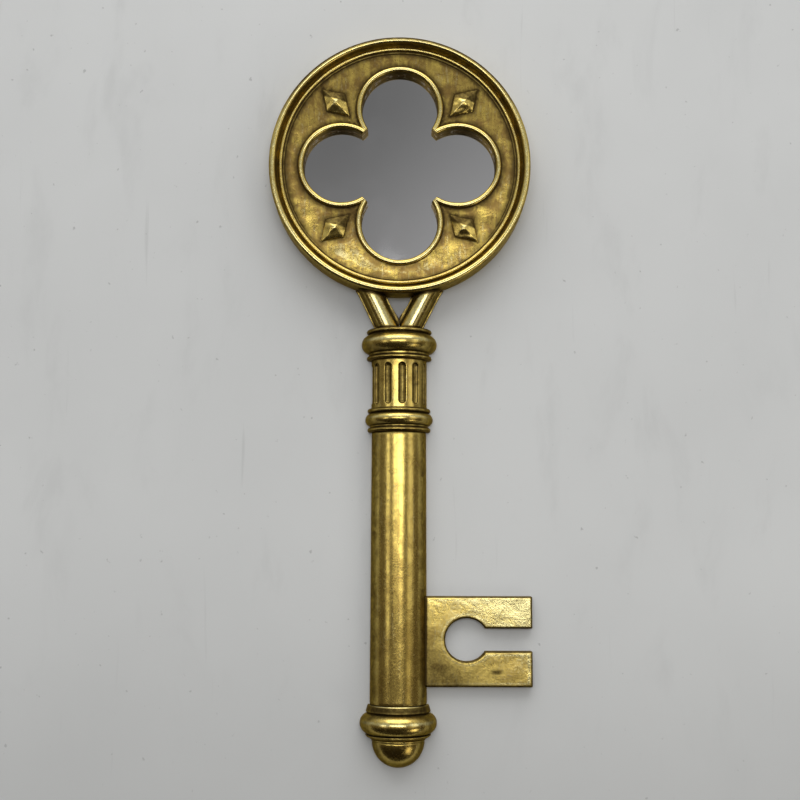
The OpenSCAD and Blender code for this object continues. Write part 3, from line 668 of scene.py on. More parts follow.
def build_arm(context, material, node, side):
    """One arm of the forked neck, cut by the bow's curve, the collar's top and the key's middle plane."""
    bow, stem = settings(context, "bow", "stem")
    r, edge, edge_high = stem.arm_radius / MM, stem.arm_flange / MM, stem.arm_flange_height / MM
    high = stem.arm_height / MM
    level = high - r
    section = arm_section(stem)
    lean = stem.arm_lean + side * LEAN_DIFFERENCE
    ax, ay = math.sin(lean), math.cos(lean)
    reach = bow.radius / MM + 0.02
    points = []
    for wide, h in section:
        foot = np.array([ARM_FOOT_X + wide * ay, ARM_FOOT_UP - wide * ax])
        along = foot @ np.array([ax, ay])
        start = -along - math.sqrt(along * along - foot @ foot + reach * reach)
        s = start + (ARM_END - start) * np.linspace(0, 1, ARM_STATIONS) ** 1.15
        grow = stem.arm_flare / MM * np.exp(-(start - s) / 5.0) * np.sign(wide) * min(1.0, abs(wide) / r)
        if wide < -r - 0.05:
            grow = grow - stem.arm_web / MM * np.clip((-116 - foot[1] - s * ay) / 12, 0, 1)
        points.append(on_wall((foot[0] + s * ax + grow * ay) * side, foot[1] + s * ay - grow * ax,
                              np.full(ARM_STATIONS, h)))
    points = np.concatenate(points)
    faces = grid_faces(len(section), ARM_STATIONS, True, False)
    faces.append(tuple(k * ARM_STATIONS for k in range(len(section))))
    faces.append(tuple(k * ARM_STATIONS + ARM_STATIONS - 1 for k in range(len(section))))
    collar = down_to("upper_collar")[0]
    work = bmesh.new()
    for p in points:
        work.verts.new(p)
    work.verts.ensure_lookup_table()
    for face in faces:
        work.faces.new([work.verts[k] for k in face])
    for spot, away in (((0, 0, BOW_UP - collar), (0, 0, -1)), ((side * ARM_GAP, 0, 0), (-side, 0, 0))):
        geometry = work.verts[:] + work.edges[:] + work.faces[:]
        result = bmesh.ops.bisect_plane(work, geom=geometry, plane_co=spot, plane_no=away, clear_outer=True)
        bmesh.ops.edgenet_fill(work, edges=[e for e in result["geom_cut"] if isinstance(e, bmesh.types.BMEdge)])
    work.verts.index_update()
    points = np.array([v.co[:] for v in work.verts])
    faces = [[v.index for v in f.verts] for f in work.faces]
    work.free()
    x, up, h = points[:, 0] * side, points[:, 2] - BOW_UP, -points[:, 1]
    aside = np.abs((x - ARM_FOOT_X) * ay - (up - ARM_FOOT_UP) * ax)
    inset = 0.9 * fade(aside - r, 0.9) * (h < level)
    near_bow = fade(np.hypot(x, up) - reach, 3.0)
    near_collar = fade(up + collar, 2.0)
    crotch = fade(x, 2.6)
    # Painted shade low on the arm by the wall
    low = 0.75 * np.clip(1 - (h - 3) / 9, 0, 1) * (h > 0.1)
    lip = fade(aside - r - edge, 0.5) * fade(h - edge_high, 1.2)
    groove = np.maximum.reduce([inset, near_bow, near_collar, crotch, low]) * np.where(lip > 0.4, 0.75, 1)
    rub = np.clip(np.maximum(lip * 0.4, fade(h - high, 1.6) * 0.8) - crotch, 0, 1)
    return piece("gilded_" + node, points, faces, {"groove": groove, "rub": rub}, material, [node],
                 sharp=42)


def ring_of(outer, middle, radius):
    """A round moulding of a turned profile: (kind, radius of its middle, distance down, radius of the round)."""
    return "round", outer - radius, middle, radius


def profile_radius(features, down):
    """Outer radius of a turned profile at one distance down."""
    best = 0.0
    for feature in features:
        if feature[0] == "round":
            _, middle, at, r = feature
            gap = r * r - (down - at) ** 2
            if gap >= 0:
                best = max(best, middle + math.sqrt(gap))
        else:
            best = max(best, float(np.interp(down, feature[1], feature[2])))
    return best


def profile_points(features, top, bottom, step):
    """Distances down and radii along a turned profile, closely spaced where it curves."""
    downs = list(np.linspace(top, bottom, max(2, math.ceil((bottom - top) / step))))
    for feature in features:
        if feature[0] == "round":
            at, r = feature[2:]
            downs += [at + r * math.sin(t) for t in np.linspace(-math.pi / 2, math.pi / 2, 8 + int(r * 3))]
        else:
            downs += list(feature[1])
    downs = sorted(d for d in downs if top <= d <= bottom)
    kept = [downs[0]]
    for d in downs[1:]:
        if d - kept[-1] > 0.02:
            kept.append(d)
    kept[-1] = bottom
    return np.array(kept), np.array([profile_radius(features, d) for d in kept])


# The end collar's flare and foot below its top, and the foot below its skirt, as distances down and radii
FLARE_DOWN, FLARE_RADII = (0, 2, 4, 4.9, 5.4, 5.7, 6.1), [25.1, 25.6, 26.2, 26.5, 26.6, 26.4, 25.2]
SKIRT_DOWN, SKIRT_RADII = (0, 0.8, 1.2, 1.8, 2.6, 3.3, 3.7), [26.7, 26.9, 26.6, 26.0, 24.8, 22.9, 21.0]


class TurnedStem:
    """The outline of all turned parts together, from the neck down to the dome, by the names of their nodes."""

    def __init__(self, stem):
        nodes = ("upper_collar", "fluted_drum", "lower_collar", "shank", "end_collar", "finial_dome")
        ends = [down_to(nodes[0])[0]] + [down_to(node)[1] for node in nodes]
        self.spans = dict(zip(nodes, zip(ends, ends[1:])))
        top, drum_top, drum_end, shank_top, shank_end, dome_mid, foot = ends
        fat_up, fat_low, fat_end = top + 4.1 + 8.3, drum_end + 3.8 + 5.5, shank_end + 5.6 + 0.6 + 8.8
        skirt = fat_end + 8.8
        dome = radius_of("finial_dome") / MM
        spread = np.sin(np.linspace(0, math.pi / 2, 40))
        self.features = {
            "upper_collar": [("line", [top, drum_top], [25.4, 25.4]), ring_of(27.3, top + 1.9, 1.9),
                             ring_of(31.6, fat_up, 8.3), ring_of(27.3, drum_top - 2.1, 2.1)],
            "fluted_drum": [("line", [drum_top, drum_end], [stem.drum / MM] * 2)],
            "lower_collar": [("line", [drum_end, shank_top], [24.3, 24.3]), ring_of(26.4, drum_end + 1.9, 1.9),
                             ring_of(28.3, fat_low, 5.5), ring_of(26.4, shank_top - 2.1, 2.1)],
            "shank": [("line", [shank_top, shank_end], [stem.shank_top / MM, stem.shank_foot / MM])],
            "end_collar": [("line", [shank_end + d for d in FLARE_DOWN] + [skirt - 0.4]
                            + [skirt + d for d in SKIRT_DOWN] + [dome_mid],
                            FLARE_RADII + [25.2] + SKIRT_RADII + [20.9]),
                           ring_of(31.7, fat_end, 8.8), ring_of(22.1, skirt + 4.5, 1.1)],
            "finial_dome": [("line", list(dome_mid + dome * spread),
                             list(dome * np.sqrt(np.clip(1 - spread ** 2, 0, 1))))]}
        self.flare = shank_end
        self.creases = (top + 3.9, drum_top - 4.2, drum_end + 3.8, shank_top - 4.2, shank_end + 6.0, skirt - 0.3)
        self.fat = ((fat_up, 8.3), (fat_low, 5.5), (fat_end, 8.8))
        self.thin = ((top + 1.9, 1.9), (drum_top - 2.1, 2.1), (drum_end + 1.9, 1.9), (shank_top - 2.1, 2.1),
                     (shank_end + 4.3, 1.5), (skirt + 0.9, 1.2))
        self.fine = np.arange(top - 6, foot, 0.1)
        radii = np.zeros(len(self.fine))
        for node, (low, high) in self.spans.items():
            for k in np.flatnonzero((self.fine >= low) & (self.fine <= high)):
                radii[k] = max(radii[k], profile_radius(self.features[node], self.fine[k]))
        radii[self.fine < top] = 24
        self.near = self.blur(radii, 9)
        self.wide = self.blur(radii, 38)

    @staticmethod
    def blur(values, reach):
        """The values averaged with their neighbours within a number of steps."""
        padded = np.concatenate([np.full(reach, values[0]), values, np.full(reach, values[-1])])
        weights = np.exp(-(np.arange(-reach, reach + 1) / (reach * 0.55)) ** 2)
        return np.convolve(padded, weights / weights.sum(), mode="valid")

    def ring_wash(self, downs):
        """Glaze that stays on the thin rings beside their crests."""
        wash = np.zeros(len(downs))
        for middle, half in self.thin:
            gap = np.abs(downs - middle)
            on_ring = np.clip((half + 0.5 - gap) / 0.5, 0, 1)
            wash = np.maximum(wash, 0.75 * on_ring * np.clip(gap / 0.6 - 0.2, 0, 1))
        return wash

    def marks(self, downs, radii):
        """Glaze and rubbing along the turned outline, with painted shade and highlights on the tori and the flare.
        """
        near = np.interp(downs, self.fine, self.near)
        wide = np.interp(downs, self.fine, self.wide)
        groove = np.maximum(np.clip((near - radii) / 0.75, 0, 1), np.clip((wide - radii) / 2.2, 0, 1) * 0.75)
        groove = np.maximum(groove, self.ring_wash(downs))
        for crease in self.creases:
            groove = np.maximum(groove, fade(downs - crease, 0.9))
        rub = np.maximum(np.clip((radii - near) / 0.5, 0, 1), np.clip((radii - wide) / 2.0, 0, 1) * 0.7)
        for middle, half in self.fat:
            across = (downs - middle) / half
            on = np.abs(across) < 1
            # Painted shade on each torus's top and lower part
            above = 0.5 * np.clip((-across - 0.55) / 0.25, 0, 1)
            below = 0.38 * np.clip((across - 0.1) / 0.3, 0, 1)
            groove = np.where(on, np.maximum.reduce([groove, above, below]), groove)
            # A painted highlight just above each torus's middle
            rub = np.where(on, np.maximum(rub * 0.6, 0.75 * fade(across + 0.25, 0.3)), rub)
        # Painted shade on the end collar's flare below the shank
        flare = 0.72 * np.clip((downs - self.flare) / 0.3, 0, 1) * (downs < self.flare + 4.2)
        return np.maximum(groove, flare), rub


# Half the width and the depth of the channel for the strap, with a little room
STRAP_HALF, STRAP_DEEP = 10.05, 3.05


def half_turned(downs, radii, count, channel):
    """Points of a half-round piece: each row goes round the front and back along the flat back."""
    turn = np.linspace(0, math.pi, count)
    across = np.cos(turn)[None, :] * radii[:, None]
    height = np.sin(turn)[None, :] * radii[:, None]
    back = []
    for r in radii:
        if channel:
            back.append([(-(r + STRAP_HALF) / 2, 0), (-STRAP_HALF, 0), (-STRAP_HALF, STRAP_DEEP), (0, STRAP_DEEP),
                         (STRAP_HALF, STRAP_DEEP), (STRAP_HALF, 0), ((r + STRAP_HALF) / 2, 0)])
        else:
            back.append([(-r * 0.6, 0), (-r * 0.2, 0), (r * 0.2, 0), (r * 0.6, 0)])
    back = np.array(back)
    across = np.concatenate([across, back[..., 0]], axis=1)
    height = np.concatenate([height, back[..., 1]], axis=1)
    up = np.broadcast_to(-downs[:, None], across.shape)
    return on_wall(across, up, height), across.shape[1]


def round_directions(points):
    """Directions away from the key's long axis, nothing on the flat back."""
    flat = points * np.array([1, 1, 0])
    size = np.linalg.norm(flat, axis=1)
    size[size == 0] = 1
    flat /= size[:, None]
    flat[points[:, 1] > -0.2] = 0
    return flat


def build_turned(context, material, node, seed, step=1.0, count=128):
    """A half-round turned piece with softened ends."""
    stem, finish = settings(context, "stem", "finish")
    outline = TurnedStem(stem)
    downs, radii = profile_points(outline.features[node], *outline.spans[node], step)
    for end in (downs[0] + 0.02, downs[-1] - 0.02):
        radii = radii - 0.35 * fade(downs - end, 0.16)
    radii = np.maximum(radii, 0.05)
    points, columns = half_turned(downs, radii, count, node != "finial_dome")
    points = points.reshape(-1, 3)
    groove, rub = (np.repeat(values, columns) for values in outline.marks(downs, radii))
    height = -points[:, 1]
    # Painted shade low on the flanks by the wall
    groove = np.maximum(groove, np.clip(1 - height / 6, 0, 1) * 0.65 * (height > 0.05))
    rub = rub * np.clip(height / 6, 0, 1)
    points = uneven(points, round_directions(points), finish.waviness / MM, 16, seed)
    return piece("gilded_" + node, points, capped_faces(len(downs), columns), {"groove": groove, "rub": rub},
                 material, [node], sharp=55)


# Where the flutes' middles lie round the drum, in degrees from straight ahead
FLUTE_TURNS = (-83.5, -53.5, -23.5, 6.5, 36.5, 66.5)
# Distance of a flute's end from the drum's end, of its cutter's axis outside the drum, and its deepest cut
FLUTE_INSET, FLUTE_AXIS_OUT, FLUTE_DEEPEST = 2.7, 0.85, 3
DRUM_STEPS = 420


def flute_depths(stem, downs, turn, low, high):
    """Depth of the round-ended flutes, with softened edges, for each distance down and each turn."""
    r, a = stem.drum / MM, stem.flute / MM
    axis = r + FLUTE_AXIS_OUT
    depth = np.zeros((len(downs), len(turn)))
    past = np.maximum(np.maximum(low - downs, downs - high), 0)[:, None]
    for flute in FLUTE_TURNS:
        gap = np.radians(turn - (90 - flute))[None, :]
        reach = a * a - past ** 2 - (axis * np.sin(gap)) ** 2
        cut = r - (axis * np.cos(gap) - np.sqrt(np.clip(reach, 0, None)))
        depth = np.maximum(depth, np.where((reach > 0) & (np.abs(gap) < 0.5), cut, 0))
    depth = np.clip(depth, 0, FLUTE_DEEPEST)
    return depth * 0.4 + box_mean(depth, 2, (1, 2, 3), range(5)) * 0.6


def box_mean(values, margin, row_shifts, column_shifts):
    """Means of the values over shifted copies of their grid."""
    padded = np.pad(values, margin, mode="edge")
    rows, columns = values.shape
    total = sum(padded[i:i + rows, j:j + columns] for i in row_shifts for j in column_shifts)
    return total / (len(row_shifts) * len(column_shifts))


def build_drum(context, material):
    """The fluted drum between the collars."""
    stem, finish = settings(context, "stem", "finish")
    outline = TurnedStem(stem)
    top, end = outline.spans["fluted_drum"]
    r, a = stem.drum / MM, stem.flute / MM
    low, high = top + FLUTE_INSET + a, end - FLUTE_INSET - a
    downs = np.concatenate([np.linspace(top, low + 0.5, 34), np.linspace(low + 1.2, high - 1.2, 30),
                            np.linspace(high - 0.5, end, 34)])
    points, columns = half_turned(downs, np.full(len(downs), r), DRUM_STEPS, True)
    depth = flute_depths(stem, downs, np.degrees(np.linspace(0, math.pi, DRUM_STEPS)), low, high)
    points[:, :DRUM_STEPS, :2] *= (1 - depth / r)[..., None]
    wide = box_mean(depth, 9, range(0, 19, 3), range(0, 19, 3))
    cavity = np.clip((depth - wide) / 0.8, 0, 1)
    edge = np.clip((wide - depth) / 0.55, 0, 1)
    slope = np.clip(np.hypot(*np.gradient(depth)) / 0.35, 0, 1)
    hollow = 0.62 * np.clip((depth - 0.5) / 1.2, 0, 1)
    beside_collars = np.broadcast_to(outline.marks(downs, np.full(len(downs), r))[0][:, None], depth.shape)
    groove = np.full((len(downs), columns), 0.3)
    rub = np.zeros((len(downs), columns))
    groove[:, :DRUM_STEPS] = np.maximum.reduce([cavity * 0.45, slope * 0.85, hollow, beside_collars])
    rub[:, :DRUM_STEPS] = edge * 0.5 * (1 - slope)
    points = points.reshape(-1, 3)
    points = uneven(points, round_directions(points), finish.waviness / MM, 9, 21)
    return piece("gilded_fluted_drum", points, capped_faces(len(downs), columns),
                 {"groove": groove.ravel(), "rub": rub.ravel()}, material, ["fluted_drum"], sharp=65)


# Shape of the bit

BIT_GRID = 1.7
# Distances from the edge at which rows of points follow the bit's outline, closest where the edge is rounded
EDGE_ROWS = (0.12, 0.35, 0.7, 1.05, 1.45, 2.1, 3.0)
# Heights of the rows of points down the bit's sides, as shares of the front's height
SIDE_LEVELS = (0.75, 0.45, 0.15, 0.0)


def bit_outline(x0, x1, z0, z1, zm, at, r, half):
    """The bit's outline from the shank round the free edge, with its keyhole notch and softened corners."""
    meet = math.degrees(math.asin(half / r))
    corner = 1.0
    right = x1 - corner
    outline = [(x0, z0)] + arc((right, z0 + corner), corner, -90, 0, 6)
    outline += arc((right, zm - half - corner), corner, 0, 90, 6)
    outline += arc((at, zm), r, -meet, -360 + meet, 90)
    outline += arc((right, zm + half + corner), corner, 270, 360, 6)
    outline += arc((right, z1 - corner), corner, 0, 90, 6) + [(x0, z1)]
    return np.array(spaced(outline, 0.9))


def distances_to(starts, segments, spots):
    """Distance of each spot from the nearest of the given segments, worked out 64 segments at a time."""
    result = np.full(len(spots), 1e9)
    for first in range(0, len(starts), 64):
        s, g = starts[first:first + 64], segments[first:first + 64]
        rel = spots[:, None, :] - s[None]
        t = np.clip((rel * g[None]).sum(-1) / (g * g).sum(-1)[None], 0, 1)
        result = np.minimum(result, np.linalg.norm(rel - t[..., None] * g[None], axis=-1).min(axis=1))
    return result


def walled(front, tris):
    """A meshed front with side walls down to the wall's plane and a flat back: its points and faces."""
    sides = {}
    for tri in tris:
        for a, b in zip(tri, tri[1:] + tri[:1]):
            sides.setdefault((min(a, b), max(a, b)), []).append((a, b))
    rim_edges = [pairs[0] for pairs in sides.values() if len(pairs) == 1]
    ring = sorted({v for edge in rim_edges for v in edge})
    place_of = {v: k for k, v in enumerate(ring)}
    rows = [front] + [front[ring] * np.array([1, level, 1]) for level in SIDE_LEVELS]

    def column(v):
        return [v] + [len(front) + k * len(ring) + place_of[v] for k in range(len(SIDE_LEVELS))]

    faces = list(tris)
    for a, b in rim_edges:
        down_a, down_b = column(a), column(b)
        for k in range(len(SIDE_LEVELS)):
            faces.append((down_a[k], down_a[k + 1], down_b[k + 1], down_b[k]))
    following = dict(rim_edges)
    walk = [rim_edges[0][0]]
    while following[walk[-1]] != walk[0]:
        walk.append(following[walk[-1]])
    faces.append(tuple(column(v)[-1] for v in walk))
    return np.concatenate(rows), faces


def build_bit(context, material):
    """The flat bit: a finely meshed front with softened edges, its sides and its back."""
    stem, finish = settings(context, "stem", "finish")
    low, high = node_box("bit")
    x1, thick = high[0], -low[1]
    z0, z1 = low[2], high[2]
    zm = (z0 + z1) / 2 + stem.notch_rise / MM
    r, at, half = stem.notch / MM, stem.notch_at / MM, stem.slot / MM / 2
    shank = (stem.shank_top + stem.shank_foot) / 2 / MM + 0.1
    seat = math.sqrt(shank ** 2 - thick ** 2)
    x0 = seat - 0.6
    border = bit_outline(x0, x1, z0, z1, zm, at, r, half)
    segments = np.roll(border, -1, axis=0) - border
    in_shank = border[:, 0] <= x0 + 1e-6
    seen = ~(in_shank & np.roll(in_shank, -1))

    def to_edge(spots):
        return distances_to(border[seen], segments[seen], spots)

    tangent = segments / np.linalg.norm(segments, axis=1)[:, None]
    inward = np.stack([-tangent[:, 1], tangent[:, 0]], axis=1)
    spots = [border]
    for depth in EDGE_ROWS:
        row = border + inward * depth
        spots.append(row[(to_edge(row) > depth - 0.03) & (row[:, 0] > x0 + 0.3)])
    gx, gz = np.meshgrid(np.arange(x0 + 1, x1, BIT_GRID), np.arange(z0 + 1, z1, BIT_GRID))
    grid = np.stack([gx.ravel(), gz.ravel()], axis=1)
    grid[:, 0] += (np.round((grid[:, 1] - z0) / BIT_GRID) % 2) * 0.8
    in_slot = (np.abs(grid[:, 1] - zm) < half) & (grid[:, 0] > at)
    grid = grid[(np.hypot(grid[:, 0] - at, grid[:, 1] - zm) > r) & ~in_slot]
    spots.append(grid[(to_edge(grid) > 3.6) & (grid[:, 0] < x1)])
    count = len(border)
    loop = [(k, (k + 1) % count) for k in range(count)]
    flat = [Vector(p) for p in np.concatenate(spots)]
    verts, _, tris, _, _, _ = delaunay_2d_cdt(flat, loop, [list(range(count))], 1, 1e-5)
    used = sorted({k for tri in tris for k in tri})
    rename = {old: new for new, old in enumerate(used)}
    tris = [tuple(rename[k] for k in tri) for tri in tris]
    verts = np.array([v[:] for v in verts])[used]
    edge_gap = to_edge(verts)
    soft = stem.edge / MM
    drop = np.where(edge_gap < soft, soft - np.sqrt(np.clip(soft ** 2 - (soft - edge_gap) ** 2, 0, None)), 0)
    front = np.stack([verts[:, 0], drop - thick, verts[:, 1]], axis=1)
    wobble = bump_field(front, 13, 31) * finish.waviness / MM * 1.5 * np.clip(edge_gap / 3, 0, 1)
    front[:, 1] = np.maximum(front[:, 1] - wobble + 0.05, -thick)
    front[:, 1] = np.where(edge_gap < 0.02, soft - thick, front[:, 1])
    points, faces = walled(front, tris)
    across, height = points[:, 0], -points[:, 1]
    embed = (across < x0 + 1) & (height < thick)
    round_side = np.sqrt(np.clip(shank ** 2 - height[embed] ** 2, 0, None))
    points[embed, 0] = round_side - 0.4 * np.clip(height[embed] / 2, 0, 1)
    gap = np.concatenate([edge_gap, np.zeros(len(points) - len(front))])
    wall = np.arange(len(points)) >= len(front)
    at_shank = fade(across - seat - 0.2, 2.2) * (np.abs(across - seat) < 8)
    band = 0.7 * np.clip((1.9 - gap) / 0.8, 0, 1)
    sideways, upward = (across - 66) / 44, (points[:, 2] - zm) / 36
    # Painted shade that grows towards the lower left of the face
    wash = 0.62 * np.clip(-sideways * 0.6 - upward * 0.55 + 0.2, 0, 1)
    smudge = 0.75 * fade(np.hypot((across - 80) / 8, (points[:, 2] - zm + 26) / 3), 1)
    on_front = np.maximum.reduce([at_shank, band, wash, smudge])
    # Painted shade on the bit's sides, darker towards the wall
    groove = np.where(wall, 0.6 + 0.35 * (1 - height / thick), on_front)
    # Rubbed leaf inside the edges and over the face, with painted light growing towards the upper right
    rubbed_and_painted_light = np.maximum(0.8 * fade(gap - 3.1, 1.5), 0.5 + 0.24 * upward + 0.22 * sideways)
    return piece("gilded_bit", points, faces, {"groove": groove, "rub": np.where(wall, 0, rubbed_and_painted_light)}, material,
                 ["bit"], sharp=48)


# Materials

def add(tree, kind, inputs=None, **values):
    """A shader node with its settings, and the values of its inputs by name or number."""
    made = tree.nodes.new(kind)
    for key, value in values.items():
        setattr(made, key, value)
    for socket, value in (inputs or {}).items():
        feed(tree, made.inputs[socket], value)
    return made


def feed(tree, socket, value):
    """Gives an input a number, a colour, a direction or another node's output."""
    if isinstance(value, bpy.types.NodeSocket):
        tree.links.new(value, socket)
    elif socket.type == "RGBA":
        socket.default_value = tuple(value)[:3] + (1.0,)
    else:
        socket.default_value = value


def maths(tree, operation, first, second, clamp=False):
    """A Math node. Each value is a number or an output."""
    return add(tree, "ShaderNodeMath", {0: first, 1: second}, operation=operation, use_clamp=clamp).outputs[0]


def times(tree, first, second):
    """Two values multiplied."""
    return maths(tree, "MULTIPLY", first, second)


def plus(tree, value, more, amount, clamp=False):
    """A value with a share of another one added."""
    return maths(tree, "ADD", value, times(tree, more, amount), clamp)


def weighed(tree, first, amount, second):
    """Two values in proportion: an amount of the first and the rest of the second."""
    return plus(tree, times(tree, first, amount), second, 1 - amount)


def blend(tree, amount, first, second, mode="MIX"):
    """A colour Mix node. Each colour is a tuple or an output."""
    return add(tree, "ShaderNodeMix", {0: amount, 6: first, 7: second}, data_type="RGBA", blend_type=mode,
               clamp_factor=True).outputs[2]


def step_up(tree, value, low, high, out_low=0.0, out_high=1.0):
    """A soft step: from out_low below low to out_high above high."""
    return add(tree, "ShaderNodeMapRange", {"Value": value, "From Min": low, "From Max": high, "To Min": out_low,
                                            "To Max": out_high}, interpolation_type="SMOOTHSTEP").outputs[0]


def cloud(tree, where, scale, detail, rough=0.55, warp=0.0):
    """Cloudy noise."""
    return add(tree, "ShaderNodeTexNoise", {"Vector": where, "Scale": scale, "Detail": detail, "Roughness": rough,
                                            "Distortion": warp}).outputs["Fac"]


def stretched(tree, where, lean, length):
    """Coordinates for a grain that leans by the given degrees and is drawn out where the length is below 1."""
    return add(tree, "ShaderNodeMapping", {"Vector": where, "Rotation": (0, math.radians(lean), 0),
                                           "Scale": (1, 1, length)}).outputs[0]


def arrange(tree):
    """Lays a tree's nodes out in columns, each to the left of what it feeds."""
    column = {node.name: 0 for node in tree.nodes}
    for _ in tree.nodes:
        for link in tree.links:
            column[link.from_node.name] = max(column[link.from_node.name], column[link.to_node.name] + 1)
    rows = {}
    for node in tree.nodes:
        across = column[node.name]
        rows[across] = rows.get(across, 0) + 1
        node.location = (-220 * across, -200 * rows[across])


# Inputs of the leaf group: its coordinates, its colours, and the values that differ between surfaces
GREY = (0.5, 0.5, 0.5, 1)
LEAF_INPUTS = {
    "Place": None, "Streak place": None,
    "Leaf": GREY, "Rubbed": GREY, "Toned": GREY, "Glaze": GREY, "Clay": GREY,
    "Groove": 0.0, "Rub": 0.0, "Facing": 1.0, "Painted side shade": 0.6, "Patches": 0.6, "Streaks": 0.5, "Pits": 0.5,
    "Clay spots": 0.4, "Sheen": 0.32,
}


def antique_leaf_group():
    """Antique gold leaf: toned patches, brushed streaks, pits, thin spots of clay, glaze, rubbed edges, and painted
    shade on faces turned away from the front.
    """
    name = "Antique leaf"
    if name in bpy.data.node_groups:
        return bpy.data.node_groups[name]
    group = bpy.data.node_groups.new(name, "ShaderNodeTree")
    for label, default in LEAF_INPUTS.items():
        kind = {type(None): "NodeSocketVector", tuple: "NodeSocketColor", float: "NodeSocketFloat"}[type(default)]
        socket = group.interface.new_socket(label, in_out="INPUT", socket_type=kind)
        if default is not None:
            socket.default_value = default
    group.interface.new_socket("Colour", in_out="OUTPUT", socket_type="NodeSocketColor")
    for label in ("Roughness", "Metallic", "Height"):
        group.interface.new_socket(label, in_out="OUTPUT", socket_type="NodeSocketFloat")
    come = add(group, "NodeGroupInput").outputs

    broad = cloud(group, come["Place"], 32, 5, 0.6, 0.4)
    middle = cloud(group, come["Place"], 110, 5, 0.62, 0.6)
    fine = cloud(group, come["Place"], 520, 4, 0.6)
    grain = cloud(group, come["Place"], 1500, 2, 0.5)
    streak = cloud(group, come["Streak place"], 420, 5, 0.62, 0.15)
    wide_streak = cloud(group, come["Streak place"], 110, 4, 0.6, 0.2)

    # Toned patches, brushed streaks and brighter strokes
    toned = times(group, step_up(group, weighed(group, broad, 0.55, middle), 0.45, 0.58), come["Patches"])
    col = blend(group, toned, come["Leaf"], come["Toned"])
    lines = weighed(group, step_up(group, streak, 0.40, 0.62), 0.55, step_up(group, wide_streak, 0.42, 0.60))
    col = blend(group, times(group, times(group, lines, come["Streaks"]), 0.75), col, come["Toned"])
    bright = step_up(group, weighed(group, streak, 0.6, fine), 0.53, 0.66)
    col = blend(group, times(group, bright, 0.4), col, come["Rubbed"])

    # Clay that shows through
    clay_spot = step_up(group, weighed(group, middle, 0.6, fine), 0.56, 0.66)
    clay_spot = times(group, clay_spot, come["Clay spots"])
    col = blend(group, clay_spot, col, come["Clay"])

    # Rubbed edges and painted highlights, with a ragged border
    ragged = times(group, maths(group, "SUBTRACT", weighed(group, middle, 0.5, fine), 0.5), 1.3)
    rub = step_up(group, plus(group, come["Rub"], ragged, 0.9), 0.42, 0.85)
    rub = times(group, rub, maths(group, "SUBTRACT", 1.0, come["Groove"], clamp=True))
    col = blend(group, times(group, rub, 0.85), col, come["Rubbed"])

    # Dark glaze in the grooves, and painted shade on faces that turn away from the front
    painted_side_shade = step_up(group, come["Facing"], 0.50, 0.94, 1.0, 0.0)
    held = maths(group, "MAXIMUM", come["Groove"], times(group, painted_side_shade, come["Painted side shade"]))
    glaze = step_up(group, plus(group, held, ragged, 0.5), 0.15, 0.85)
    glaze = times(group, glaze, step_up(group, held, 0.02, 0.18))
    col = blend(group, glaze, col, come["Glaze"])

    # Small dark pits of uneven size, in loose flocks
    cells = add(group, "ShaderNodeTexVoronoi", {"Vector": come["Place"], "Scale": 240, "Randomness": 1.0},
                feature="F1")
    size = step_up(group, fine, 0.45, 0.75, 0.02, 0.20)
    outside = step_up(group, cells.outputs["Distance"], times(group, size, 0.4), size)
    pit = times(group, maths(group, "SUBTRACT", 1.0, outside), step_up(group, middle, 0.46, 0.62))
    pit = times(group, pit, come["Pits"])
    col = blend(group, pit, col, come["Glaze"])

    dull = maths(group, "MAXIMUM", glaze, pit)
    rough = plus(group, come["Sheen"], toned, 0.05)
    rough = plus(group, rough, maths(group, "SUBTRACT", fine, 0.5), 0.16)
    rough = plus(group, rough, rub, -0.05)
    rough = plus(group, rough, maths(group, "MAXIMUM", dull, clay_spot), 0.16, clamp=True)
    metal = maths(group, "SUBTRACT", 1.0, times(group, dull, 0.12))
    metal = plus(group, metal, clay_spot, -0.45, clamp=True)
    high = plus(group, times(group, fine, 0.16), grain, 0.015)
    high = plus(group, high, middle, 0.6)
    high = plus(group, high, times(group, streak, come["Streaks"]), 0.25)
    high = plus(group, high, pit, -0.7)
    add(group, "NodeGroupOutput", {"Colour": col, "Roughness": rough, "Metallic": metal, "Height": high})
    arrange(group)
    return group


def base_material(name):
    """A material with a Principled shader, and its object coordinates."""
    material = bpy.data.materials.new(name)
    material.use_nodes = True
    tree = material.node_tree
    tree.nodes.clear()
    shader = add(tree, "ShaderNodeBsdfPrincipled")
    add(tree, "ShaderNodeOutputMaterial", {0: shader.outputs[0]})
    return material, tree, shader, add(tree, "ShaderNodeTexCoord").outputs["Object"]


def mark(tree, name):
    """One of the marks that a piece carries on its points: wear and glaze, with painted shade and painted
    highlights.
    """
    return add(tree, "ShaderNodeAttribute", attribute_name=name, attribute_type="GEOMETRY").outputs["Fac"]


def bump_to(tree, shader, height, distance, strength=1.0):
    """Lets a height raise the surface, by up to a distance in metres."""
    relief = add(tree, "ShaderNodeBump", {"Strength": strength, "Distance": distance, "Height": height})
    feed(tree, shader.inputs["Normal"], relief.outputs[0])


def darker(tint, share_left):
    """A colour with only a share of its brightness left."""
    return tuple(share_left * t for t in tint)


